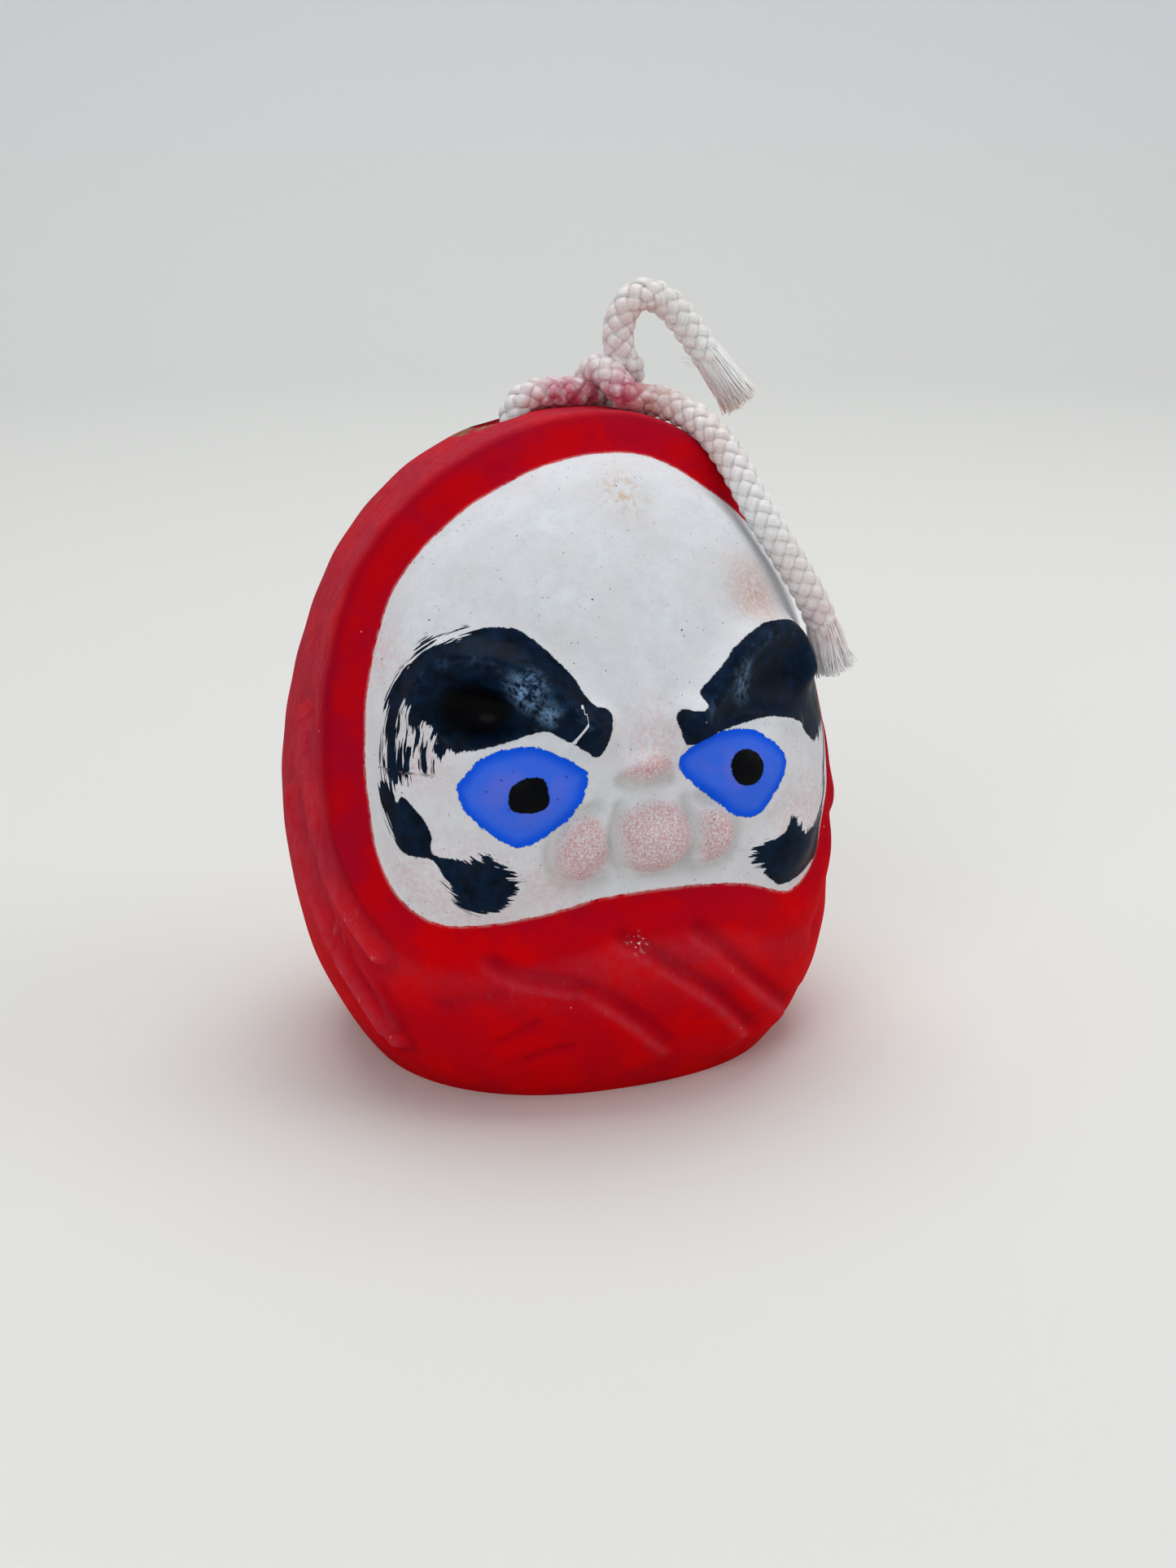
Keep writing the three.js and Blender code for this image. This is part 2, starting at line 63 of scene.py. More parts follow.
def make_camera():
    azimuth, elevation = math.radians(CAMERA_AZIMUTH), math.radians(CAMERA_ELEVATION)
    right = Vector((math.cos(azimuth), math.sin(azimuth), 0))
    back = Vector((math.sin(azimuth) * math.cos(elevation), -math.cos(azimuth) * math.cos(elevation),
                   math.sin(elevation)))
    up = back.cross(right)
    target = right * TARGET_RIGHT + Vector((0, 0, TARGET_HEIGHT))
    turn = Matrix((right, up, back)).transposed() @ Matrix.Rotation(math.radians(CAMERA_ROLL), 3, "Z")
    data = bpy.data.cameras.new("camera")
    data.sensor_fit = "AUTO"
    data.angle = math.radians(CAMERA_ANGLE)
    data.clip_start = 0.01
    camera = bpy.data.objects.new("camera", data)
    camera.matrix_world = Matrix.Translation((target + back * CAMERA_DISTANCE) * MM) @ turn.to_4x4()
    bpy.context.scene.collection.objects.link(camera)
    bpy.context.scene.camera = camera


make_camera()

# ---- Node graphs for materials ----


SOCKETS = {
    "colour": "Base Color", "roughness": "Roughness", "specular": "Specular IOR Level",
    "sheen": "Sheen Weight", "sheen_roughness": "Sheen Roughness", "coat": "Coat Weight",
    "coat_roughness": "Coat Roughness", "subsurface": "Subsurface Weight",
    "subsurface_scale": "Subsurface Scale", "normal": "Normal",
}


def linear(red, green, blue):
    """A colour given as it is seen, 0 to 255, as the shader's linear values."""
    values = [channel / 255 for channel in (red, green, blue)]
    return (*[v / 12.92 if v <= 0.04045 else ((v + 0.055) / 1.055) ** 2.4 for v in values], 1.0)


class Graph:
    """A material's node tree, with one short call for each kind of node."""

    def __init__(self, name):
        self.material = bpy.data.materials.new(name)
        self.material.use_nodes = True
        self.tree = self.material.node_tree
        self.shader = self.tree.nodes["Principled BSDF"]
        self.position = self.scale(self.add("ShaderNodeTexCoord").outputs["Object"], 1 / MM)

    def add(self, kind, **properties):
        node = self.tree.nodes.new(kind)
        for name, value in properties.items():
            setattr(node, name, value)
        return node

    def put(self, socket, value):
        if isinstance(value, bpy.types.NodeSocket):
            self.tree.links.new(value, socket)
        else:
            socket.default_value = value

    def math(self, operation, *values):
        node = self.add("ShaderNodeMath", operation=operation)
        for socket, value in zip(node.inputs, values):
            self.put(socket, value)
        return node.outputs[0]

    def plus(self, first, *others):
        for other in others:
            first = self.math("ADD", first, other)
        return first

    def times(self, first, *others):
        for other in others:
            first = self.math("MULTIPLY", first, other)
        return first

    def most(self, a, b):
        return self.math("MAXIMUM", a, b)

    def minus(self, a, b):
        return self.math("SUBTRACT", a, b)

    def centred(self, value, size):
        """A texture's 0 to 1 as minus to plus a size."""
        return self.math("MULTIPLY_ADD", value, 2 * size, -size)

    def scale(self, vector, factors):
        node = self.add("ShaderNodeVectorMath", operation="MULTIPLY")
        self.put(node.inputs[0], vector)
        node.inputs[1].default_value = factors if isinstance(factors, tuple) else (factors,) * 3
        return node.outputs[0]

    def parts(self, vector):
        node = self.add("ShaderNodeSeparateXYZ")
        self.put(node.inputs[0], vector)
        return node.outputs

    def ramp(self, value, low, high, start=0.0, end=1.0):
        node = self.add("ShaderNodeMapRange", interpolation_type="SMOOTHSTEP")
        for socket, given in zip(node.inputs, (value, low, high, start, end)):
            self.put(socket, given)
        return node.outputs[0]

    def mix(self, factor, a, b):
        """Two colours mixed, each a socket or a colour as it is seen."""
        node = self.add("ShaderNodeMix", data_type="RGBA")
        for index, value in ((0, factor), (6, a), (7, b)):
            self.put(node.inputs[index], linear(*value) if isinstance(value, tuple) else value)
        return node.outputs[2]

    def tint(self, colour, mask, share, seen):
        """Another colour over a colour where a mask says, up to a share."""
        return self.mix(self.times(mask, share), colour, seen)

    def noise(self, scale, detail=2.0, rough=0.5, vector=None):
        node = self.add("ShaderNodeTexNoise")
        self.put(node.inputs["Vector"], vector or self.position)
        node.inputs["Scale"].default_value = scale
        node.inputs["Detail"].default_value = detail
        node.inputs["Roughness"].default_value = rough
        return node.outputs["Fac"]

    def stretched(self, factors, detail, rough, vector=None):
        """Noise with a frequency of its own along each axis."""
        return self.noise(1.0, detail, rough, self.scale(vector or self.position, factors))

    def specks(self, spacing, size, share):
        """Small ragged spots: one cell each spacing, a share of them filled."""
        node = self.add("ShaderNodeTexVoronoi")
        self.put(node.inputs["Vector"], self.position)
        node.inputs["Scale"].default_value = 1 / spacing
        parts = self.add("ShaderNodeSeparateColor")
        self.put(parts.inputs[0], node.outputs["Color"])
        chosen = self.math("LESS_THAN", parts.outputs[0], share)
        radius = self.times(parts.outputs[1], 2 * size / spacing)
        far = self.plus(node.outputs["Distance"], self.centred(self.noise(4.0, 1.0), 0.3 * size / spacing))
        return self.times(chosen, self.math("LESS_THAN", far, radius))

    def attribute(self, name):
        """A mesh attribute, whole and in its three parts."""
        vector = self.add("ShaderNodeAttribute", attribute_name=name).outputs["Vector"]
        return vector, *self.parts(vector)

    def near(self, place, reach):
        """1 at a place, fading to 0 at a reach."""
        node = self.add("ShaderNodeVectorMath", operation="DISTANCE")
        self.put(node.inputs[0], self.position)
        node.inputs[1].default_value = place
        return self.ramp(node.outputs["Value"], 0.0, reach, 1.0, 0.0)

    def bump(self, height, distance):
        node = self.add("ShaderNodeBump")
        node.inputs["Distance"].default_value = distance * MM
        self.put(node.inputs["Height"], height)
        return node.outputs[0]

    def set(self, **values):
        for name, value in values.items():
            self.put(self.shader.inputs[SOCKETS[name]], value)


# ---- Meshes and lines ----


def smoothstep(value, low, high):
    t = np.clip((value - low) / (high - low), 0, 1)
    return t * t * (3 - 2 * t)


def bell(distance, breadth):
    return np.exp(-(distance / breadth) ** 2)


def ring_angles(count):
    return np.arange(count) / count * 2 * math.pi


def catmull_rom(points, steps, closed=False):
    """A smooth line through points, steps to each stretch."""
    p = np.asarray(points, float)
    before, after = (p[-1:], p[:2]) if closed else (2 * p[:1] - p[1:2], 2 * p[-1:] - p[-2:-1])
    p = np.vstack([before, p, after])
    t = (np.arange(steps) / steps)[:, None]
    line = []
    for a, b, c, d in zip(p, p[1:], p[2:], p[3:]):
        line.append(0.5 * (2 * b + (c - a) * t + (2 * a - 5 * b + 4 * c - d) * t ** 2
                           + (3 * b - a - 3 * c + d) * t ** 3))
    return np.vstack([*line, p[-2:-1]])


def even_steps(line, step):
    """The same line, with points a given step apart."""
    along = np.concatenate([[0], np.cumsum(np.linalg.norm(np.diff(line, axis=0), axis=1))])
    count = max(int(round(along[-1] / step)), 2)
    at = np.linspace(0, along[-1], count + 1)
    return np.column_stack([np.interp(at, along, line[:, axis]) for axis in range(3)])


def frames_along(line):
    """For each point of a line, two directions across it, carried along without twist."""
    tangents = np.gradient(line, axis=0)
    tangents /= np.linalg.norm(tangents, axis=1)[:, None]
    side = np.cross(tangents[0], (0.3, 1, 0.2))
    sides = []
    for tangent in tangents:
        side = side - tangent * (side @ tangent)
        side /= np.linalg.norm(side)
        sides.append(side)
    sides = np.array(sides)
    return sides, np.cross(tangents, sides)


def tube_points(line, sides, radius):
    """Rings of points round a line, one after another."""
    u, v = frames_along(line)
    ring = [line + (u * math.cos(a) + v * math.sin(a)) * radius for a in ring_angles(sides)]
    return np.stack(ring, axis=1).reshape(-1, 3)


def tube_faces(rings, sides, start=0):
    """The side faces of a tube of rings, and a face over each end."""
    faces = grid_faces(rings, sides, start, wrap=True)
    faces.append(tuple(range(start + sides - 1, start - 1, -1)))
    last = start + (rings - 1) * sides
    faces.append(tuple(range(last, last + sides)))
    return faces


def grid_faces(rows, columns, start=0, wrap=False):
    faces = []
    for row in range(rows - 1):
        low = start + row * columns
        for k in range(columns if wrap else columns - 1):
            n = (k + 1) % columns
            faces.append((low + k, low + n, low + columns + n, low + columns + k))
    return faces


def make_smooth(mesh, sharp_angle):
    mesh.polygons.foreach_set("use_smooth", np.ones(len(mesh.polygons), bool))
    mesh.set_sharp_from_angle(angle=math.radians(sharp_angle))


def new_piece(name, mesh):
    piece = bpy.data.objects.new(name, mesh)
    bpy.context.scene.collection.objects.link(piece)
    return piece


def new_mesh(name, points, faces, material, sharp_angle=40):
    """A piece from points in millimetres, with the faces turned outward."""
    mesh = bpy.data.meshes.new(name)
    mesh.from_pydata((np.asarray(points) * MM).tolist(), [], faces)
    mesh.materials.append(material)
    make_smooth(mesh, sharp_angle)
    mesh.update()
    work = bmesh.new()
    work.from_mesh(mesh)
    bmesh.ops.recalc_face_normals(work, faces=work.faces)
    work.to_mesh(mesh)
    work.free()
    return new_piece(name, mesh)


def set_vectors(mesh, name, vectors):
    layer = mesh.attributes.new(name, "FLOAT_VECTOR", "POINT")
    layer.data.foreach_set("vector", np.ascontiguousarray(vectors, np.float32).ravel())


def declare(piece, body):
    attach(piece, body)


# ---- The cord ----

CORD_DIAMETER = 2.5
STRANDS_EACH_WAY = 4
STRAND_SIDES = 8
BRAID_PITCH = 5.8
STRAND_WIDTH = 1.36
STRAND_THICKNESS = 0.68
STRAND_RADIUS = 1.0  # of the braid, to the middle of a strand
STRAND_SWING = 0.2  # in and out, as the strands pass over and under
CORE_DIAMETER = 2.1
RING_STEP = 0.17
FIBRE = {"radius": 0.1, "rings": 6, "sides": 4}
HAIR_RADIUS = 0.028
FRAY_FIBRES = 600
LINE_STEPS = 12  # to each stretch of a route

UNDER_BRIDGE = [
    (-2.8, 3.4, 53.5), (-2.2, 3.4, 52.1), (-0.6, 3.4, 51.1), (1.2, 3.4, 50.7), (2.8, 3.4, 50.6),
    (4.4, 3.4, 50.7), (6.2, 3.4, 51.1), (7.8, 3.4, 52.1), (8.4, 3.4, 53.5),
]
LEFT_LEG = [
    (-2.8, 3.4, 54.1), (-2.8, 3.4, 57.2), (-2.5, 3.4, 58.8), (-1.7, 3.2, 59.8), (-0.5, 3.0, 60.2),
    (1.0, 2.7, 60.3), (2.6, 2.3, 60.3),
]
RIGHT_LEG = [(8.4, 3.4, 54.1), (8.4, 3.4, 56.4), (7.9, 3.8, 57.9)]
KNOT_FROM_LEFT = [(4.2, 2.5, 60.4), (6.0, 3.3, 60.7), (7.5, 2.9, 61.4), (7.9, 1.5, 62.1)]
KNOT_FROM_RIGHT = [
    (6.6, 4.7, 59.0), (5.0, 4.3, 60.6), (4.8, 2.6, 62.0), (5.2, 0.5, 62.3), (5.7, -1.0, 61.3),
    (6.7, -1.6, 60.1),
]
TAIL_UP = [
    (6.8, 0.8, 63.4), (6.5, 0.8, 65.2), (6.8, 0.8, 67.0), (7.7, 0.8, 68.4), (9.2, 0.8, 69.0),
    (11.1, 0.7, 68.2), (12.5, 0.6, 66.8), (14.1, 0.4, 64.7), (16.0, 0.2, 62.1),
]
TAIL_DOWN = [
    (8.8, -1.6, 59.7), (10.4, -3.4, 59.2), (11.9, -5.8, 58.0), (13.1, -8.4, 56.0), (14.1, -10.4, 53.5),
    (15.1, -11.9, 50.8), (16.4, -12.7, 48.5), (17.8, -13.3, 46.1), (19.2, -13.7, 43.6),
    (20.5, -13.8, 40.9), (21.2, -13.8, 38.7),
]

# Stains on the cord: where, how far, how strong.
PINK_STAINS = [((1.6, 1.6, 59.4), 2.6, 1.0), ((6.3, -1.6, 60.2), 2.4, 1.0), ((4.2, 1.2, 60.0), 2.4, 0.8),
               ((6.3, 0.2, 65.2), 2.6, 0.28), ((20.0, -14.6, 41.0), 3.5, 0.25)]
RUST_STAINS = [((9.6, -2.6, 59.0), 2.8, 0.9), ((8.6, 0.6, 67.4), 2.0, 0.9), ((4.8, 4.0, 60.8), 2.2, 0.45),
               ((12.6, -7.4, 56.2), 3.4, 0.55), ((17.0, -13.2, 46.0), 2.5, 0.3)]
BEIGE_STAINS = [((18.2, 0.0, 58.6), 1.5, 1.0), ((12.0, 1.6, 67.0), 3.0, 0.2)]
# Stray hairs: from where, which way and how many.
HAIRS = [((14.9, 0.2, 62.9), (-2.4, 0, 0.4), 14), ((16.6, 0, 61.0), (-1.6, 0, -0.6), 5),
         ((-2.2, 2.8, 59.4), (-2.2, -0.4, 0.6), 4), ((17.6, 0, 60.0), (1.4, 0, -1.6), 6),
         ((20.9, -14.2, 39.6), (1.9, -0.3, 0.2), 6), ((9.0, -2.0, 60.6), (1.6, 0.4, 1.4), 4),
         ((4.2, 2.0, 61.6), (-1.2, -0.4, 0.9), 3)]


def stain_values(points):
    columns = []
    for stains in (PINK_STAINS, RUST_STAINS, BEIGE_STAINS):
        total = np.zeros(len(points))
        for place, reach, strength in stains:
            total = np.maximum(total, strength * bell(np.linalg.norm(points - place, axis=1), reach))
        columns.append(total)
    return np.column_stack(columns)


def cord_mesh(name, points, faces, fibre, material, sharp_angle):
    """A piece of the cord, with its place across and along the fibres and its stains."""
    points = np.vstack(points)
    piece = new_mesh(name, points, faces, material, sharp_angle)
    set_vectors(piece.data, "fibre", np.vstack(fibre))
    set_vectors(piece.data, "stain", stain_values(points))
    return piece


def braid(name, route, material):
    """A round braid along a route: strands that wind both ways, over and under, on a core."""
    line = even_steps(catmull_rom(route, LINE_STEPS), RING_STEP)
    along = np.arange(len(line)) * RING_STEP
    u, v = frames_along(line)
    points, faces, fibre = [], [], []

    def add_tube(centre, out, around, width, thickness, number):
        angles = ring_angles(STRAND_SIDES)
        faces.extend(tube_faces(len(line), STRAND_SIDES, sum(len(block) for block in points)))
        ring = [centre + out * (math.sin(a) * thickness / 2) + around * (math.cos(a) * width / 2)
                for a in angles]
        points.append(np.stack(ring, axis=1).reshape(-1, 3))
        across = np.tile(np.cos(angles) * width / 2, len(line))
        fibre.append(np.column_stack([across, np.repeat(along, STRAND_SIDES), np.full(len(across), number)]))

    add_tube(line, u, v, CORE_DIAMETER, CORE_DIAMETER, 0.0)
    turn = 2 * math.pi * along / BRAID_PITCH
    for way in (1, -1):
        radius = STRAND_RADIUS + way * STRAND_SWING * np.cos(STRANDS_EACH_WAY * turn)
        for strand in range(STRANDS_EACH_WAY):
            angle = way * turn + 2 * math.pi * strand / STRANDS_EACH_WAY
            out = u * np.cos(angle)[:, None] + v * np.sin(angle)[:, None]
            centre = line + out * radius[:, None]
            forward = np.gradient(centre, axis=0)
            forward /= np.linalg.norm(forward, axis=1)[:, None]
            add_tube(centre, out, np.cross(forward, out), STRAND_WIDTH, STRAND_THICKNESS,
                     1.0 + strand + STRANDS_EACH_WAY * (way > 0))
    return cord_mesh(name, points, faces, fibre, material, 60), line


def fibres(name, curves, radius, material):
    """Fine loose fibres, each a thin tapered tube from a start through a bend to an end."""
    points, faces, fibre = [], [], []
    rings, sides = FIBRE["rings"], FIBRE["sides"]
    t = np.linspace(0, 1, rings)[:, None]
    for number, (start, bend, end) in enumerate(curves):
        line = start * (1 - t) ** 2 + 2 * (1 - t) * t * bend + end * t ** 2
        points.append(tube_points(line, sides, radius * (1 - 0.5 * t)))
        faces.extend(tube_faces(rings, sides, number * rings * sides))
        fibre.append(np.tile([0.0, 0.0, number % 7], (rings * sides, 1)))
    return cord_mesh(name, points, faces, fibre, material, 80)


def fray(name, route, back, reach, spread, seed, material):
    """The cord's end, where the braid has come apart into a blunt brush of fibres."""
    chance = random.Random(seed)
    line = catmull_rom(route, LINE_STEPS)
    end = line[-1]
    forward = line[-1] - line[-3]
    forward /= np.linalg.norm(forward)
    side = np.cross(forward, (0, 1, 0))
    side /= np.linalg.norm(side)
    up = np.cross(forward, side)
    curves = []
    for _ in range(FRAY_FIBRES):
        angle = chance.uniform(0, 2 * math.pi)
        out = math.sqrt(chance.random())
        across = side * math.cos(angle) + up * math.sin(angle)
        sway = (side * chance.gauss(0, 1) + up * chance.gauss(0, 1)) * 0.3
        first = -back * chance.uniform(0.15, 1.0) if out > 0.6 else -0.6
        start = end + across * max(out * CORD_DIAMETER / 2, 0.2) + forward * first
        tip = end + across * out * spread + sway + forward * reach * chance.uniform(0.86, 1.0)
        curves.append((start, (start + tip) / 2 + across * (0.35 * out) - sway, tip))
    return fibres(name, curves, FIBRE["radius"], material)


def stray_hairs(name, seed, material):
    """Single hairs that stand away from the cord."""
    chance = random.Random(seed)
    curves = []
    for place, way, count in HAIRS:
        place, way = np.array(place, float), np.array(way, float)
        for _ in range(count):
            jitter = np.array([chance.uniform(-1, 1) for _ in range(3)])
            curl = np.array([chance.uniform(-1, 1) for _ in range(3)])
            start = place + jitter * 0.5
            end = place + way * chance.uniform(0.6, 1.0) + curl * 0.5
            curves.append((start, (start + end) / 2 + curl * 0.6, end))
    return fibres(name, curves, HAIR_RADIUS, material)


def cord_material():
    g = Graph("braided_nylon")
    _, across, along, number = g.attribute("fibre")
    _, pink, rust, beige = g.attribute("stain")
    streak = g.add("ShaderNodeCombineXYZ")
    for socket, value, scale in zip(streak.inputs, (across, along, number), (9.0, 0.7, 3.7)):
        g.put(socket, g.times(value, scale))
    threads = g.noise(1.0, 3.0, 0.6, streak.outputs[0])
    colour = g.mix(g.ramp(threads, 0.35, 0.7), (232, 229, 228), (250, 249, 248))
    colour = g.tint(colour, g.ramp(g.noise(0.9, 3.0, 0.6), 0.5, 0.78), 0.25, (222, 208, 190))
    # Painted shade: each strand goes grey at its edges, where it dips under its neighbours.
    edge = g.ramp(g.math("ABSOLUTE", across), 0.35, STRAND_WIDTH / 2)
    colour = g.tint(colour, edge, 0.5, (178, 170, 172))
    patch = g.ramp(g.noise(1.0), 0.26, 0.55, 0.2, 1.0)
    colour = g.tint(colour, g.math("MINIMUM", g.times(pink, 1.25), 1.0), patch, (190, 52, 92))
    colour = g.tint(colour, g.times(rust, 0.8), patch, (190, 128, 100))
    colour = g.tint(colour, beige, g.ramp(threads, 0.3, 0.6, 0.5, 0.95), (206, 182, 140))
    g.set(colour=colour, roughness=0.33, sheen=0.3, sheen_roughness=0.4, specular=0.7,
          subsurface=0.08, subsurface_scale=0.0006, normal=g.bump(threads, 0.09))
    return g.material


def make_cord():
    nylon = cord_material()
    left, left_line = braid("cord_left", [*LEFT_LEG, *KNOT_FROM_LEFT, *TAIL_UP], nylon)
    right, right_line = braid("cord_right", [*RIGHT_LEG, *KNOT_FROM_RIGHT, *TAIL_DOWN], nylon)
    bridge, _ = braid("cord_bridge", UNDER_BRIDGE, nylon)
    fray_up = fray("fray_up", TAIL_UP, back=2.9, reach=4.1, spread=1.6, seed=3, material=nylon)
    fray_down = fray("fray_down", TAIL_DOWN, back=3.4, reach=2.7, spread=1.75, seed=5, material=nylon)
    hairs = stray_hairs("stray_hairs", seed=11, material=nylon)
    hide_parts("cord_left_leg", "cord_tail_up", "cord_knot")
    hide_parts("cord_right_leg", "cord_tail_down")
    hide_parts("cord_under_bridge")
    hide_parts("cord_fray_up")
    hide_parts("cord_fray_down")
    for piece in (left, right, bridge, fray_up, fray_down, hairs):
        declare(piece, "bell")


make_cord()

# ---- The body's surface ----

# The driving values of the CAD model's body.
HALF_WIDTH = 25.6
DEPTHS = {"front": 24.0, "back": 22.8}
HEIGHT = 59.0
WIDEST_HEIGHT = 23.1
FOOT_HALF_WIDTH = 19.6
SWAY = 0.5
SWAY_HEIGHTS = {"waist": 30, "shoulder": 47}
CROWN_TILT = 0.09
WALL = 4.0
PLAN_POWER = 2.3
UPPER_POWERS = {"rise": 1.75, "width": 2.48}
LOWER_POWERS = {"rise": 2.65, "width": 2.38}
SLIT = {"height": 14.4, "width": 3.2, "end_diameter": 8.4, "end_angle": 105}
CORD_HOLES = {"y": 3.4, "x": (-4.1, 8.4), "diameter": 5.8}

UPPER_ROWS = 220
LOWER_ROWS = 120
FRONT_COLUMNS = 420
BACK_COLUMNS = 130


def foot_turn(half_width, foot_half_width):
    return math.acos((foot_half_width / half_width) ** (LOWER_POWERS["width"] / 2))


def profile(turn, half_width, foot_half_width, top, bottom):
    """Height and share of the full width at a turning parameter."""
    last = foot_turn(half_width, foot_half_width)
    sine = np.abs(np.sin(turn))
    cosine = np.maximum(np.cos(turn), 0)
    above = WIDEST_HEIGHT + (top - WIDEST_HEIGHT) * sine ** (2 / UPPER_POWERS["rise"])
    drop = (sine / math.sin(last)) ** (2 / LOWER_POWERS["rise"])
    below = WIDEST_HEIGHT - (WIDEST_HEIGHT - bottom) * drop
    share = np.where(turn >= 0, cosine ** (2 / UPPER_POWERS["width"]), cosine ** (2 / LOWER_POWERS["width"]))
    return np.where(turn >= 0, above, below), share


def share_at_height(z):
    rise = np.clip((z - WIDEST_HEIGHT) / (HEIGHT - WIDEST_HEIGHT), 0, 1)
    above = (1 - rise ** UPPER_POWERS["rise"]) ** (1 / UPPER_POWERS["width"])
    drop = np.clip((WIDEST_HEIGHT - z) / WIDEST_HEIGHT, 0, 1)
    sine = drop ** (LOWER_POWERS["rise"] / 2) * math.sin(foot_turn(HALF_WIDTH, FOOT_HALF_WIDTH))
    below = (1 - sine ** 2) ** (1 / LOWER_POWERS["width"])
    return np.where(z >= WIDEST_HEIGHT, above, below)


def sway_at(z):
    low = SWAY * np.cos(math.pi * z / SWAY_HEIGHTS["waist"])
    high = -SWAY * (1 - smoothstep(z, SWAY_HEIGHTS["shoulder"], HEIGHT))
    return np.where(z < SWAY_HEIGHTS["waist"], low, high)


def leaned(points):
    x, y, z = np.moveaxis(points, -1, 0)
    rise = np.maximum((z - WIDEST_HEIGHT) / (HEIGHT - WIDEST_HEIGHT), 0)
    return np.stack([x + sway_at(z), y, z + CROWN_TILT * x * rise ** 4], axis=-1)


def on_plan(angle, share, z, inset=0.0):
    sine, cosine = np.sin(angle), np.cos(angle)
    depth = np.where(cosine > 0, DEPTHS["front"], DEPTHS["back"]) - inset
    across = np.abs(sine / (HALF_WIDTH - inset)) ** PLAN_POWER
    radius = share / (across + np.abs(cosine / depth) ** PLAN_POWER) ** (1 / PLAN_POWER)
    return np.stack(np.broadcast_arrays(radius * sine, -radius * cosine, z), axis=-1)


def front_points(outline):
    """Points given as they are seen from the front, x and z, placed on the front surface."""
    x, z = np.asarray(outline, float).T
    share = share_at_height(z)
    middle = x - sway_at(z)
    across = np.minimum(np.abs(middle) / (HALF_WIDTH * share), 1)
    y = -DEPTHS["front"] * share * (1 - across ** PLAN_POWER) ** (1 / PLAN_POWER)
    return leaned(np.stack([middle, y, z], axis=-1))


def side_points(outline):
    """Points given by the angle round from the front and the height."""
    degrees, z = np.asarray(outline, float).T
    return leaned(on_plan(np.radians(degrees), share_at_height(z), z))


def mirrored(outline):
    return [(-x, z) for x, z in outline]


class Line:
    """A line over the surface, with distances to it for many points at once."""

    def __init__(self, points, place=front_points, closed=False, steps=8):
        flat = catmull_rom([(x, z) for x, z in points], steps, closed)
        self.flat = flat
        self.points = place(flat)

    def nearest(self, points, normals, reach):
        """Distance, side (positive to the left going along) and share of the way along."""
        low, high = self.points.min(0) - reach, self.points.max(0) + reach
        close = np.flatnonzero(((points > low) & (points < high)).all(1))
        distance = np.full(len(points), float(reach))
        side = np.zeros(len(points))
        along = np.zeros(len(points))
        p, n = points[close], normals[close]
        best, best_side, best_along = np.full(len(close), 1e9), np.zeros(len(close)), np.zeros(len(close))
        for i, (a, b) in enumerate(zip(self.points, self.points[1:])):
            step = b - a
            t = np.clip((p - a) @ step / (step @ step), 0, 1)
            away = p - a - t[:, None] * step
            far = np.einsum("ij,ij->i", away, away)
            nearer = far < best
            best[nearer] = far[nearer]
            best_side[nearer] = np.einsum("ij,ij->i", np.cross(step, away[nearer]), n[nearer])
            best_along[nearer] = (i + t[nearer]) / (len(self.points) - 1)
        distance[close] = np.minimum(np.sqrt(best), reach)
        side[close] = np.sign(best_side)
        along[close] = best_along
        return distance, side, along

    def signed(self, points, normals, reach):
        """Distance to a closed outline, positive inside it."""
        distance, _, _ = self.nearest(points, normals, reach)
        x, z = points[:, 0], points[:, 2]
        inside = np.zeros(len(points), bool)
        outline = self.points
        for a, b in zip(outline, np.roll(outline, -1, axis=0)):
            if a[2] != b[2]:
                crosses = (a[2] > z) != (b[2] > z)
                inside ^= crosses & (x < a[0] + (z - a[2]) / (b[2] - a[2]) * (b[0] - a[0]))
        inside &= points[:, 1] < 0
        return np.where(inside, distance, -distance)


FACE = [
    (1.9, 57.0), (7.0, 55.8), (11.9, 52.5), (16.5, 48.0), (19.5, 44.0), (21.5, 38.4), (22.6, 31.0),
    (22.7, 25.0), (21.3, 21.4), (18.6, 18.8), (15.2, 17.7), (9.9, 19.8), (4.2, 20.7), (-3.4, 20.7),
    (-8.2, 19.7), (-13.9, 18.7), (-17.8, 18.4), (-20.6, 20.3), (-22.1, 23.8), (-22.5, 28.6),
    (-22.3, 33.5), (-21.3, 39.3), (-18.8, 45.9), (-15.3, 50.6), (-10.3, 54.4), (-4.2, 56.7),
]
RIM = {"depth": 1.0, "crest": 0.75, "crest_at": 3.6, "fade_out": 9, "fade_in": 4.5}
COLLAR = {"depth": 0.45, "crest": 0.3, "crest_at": 2.2, "lowest": 17, "highest": 26}

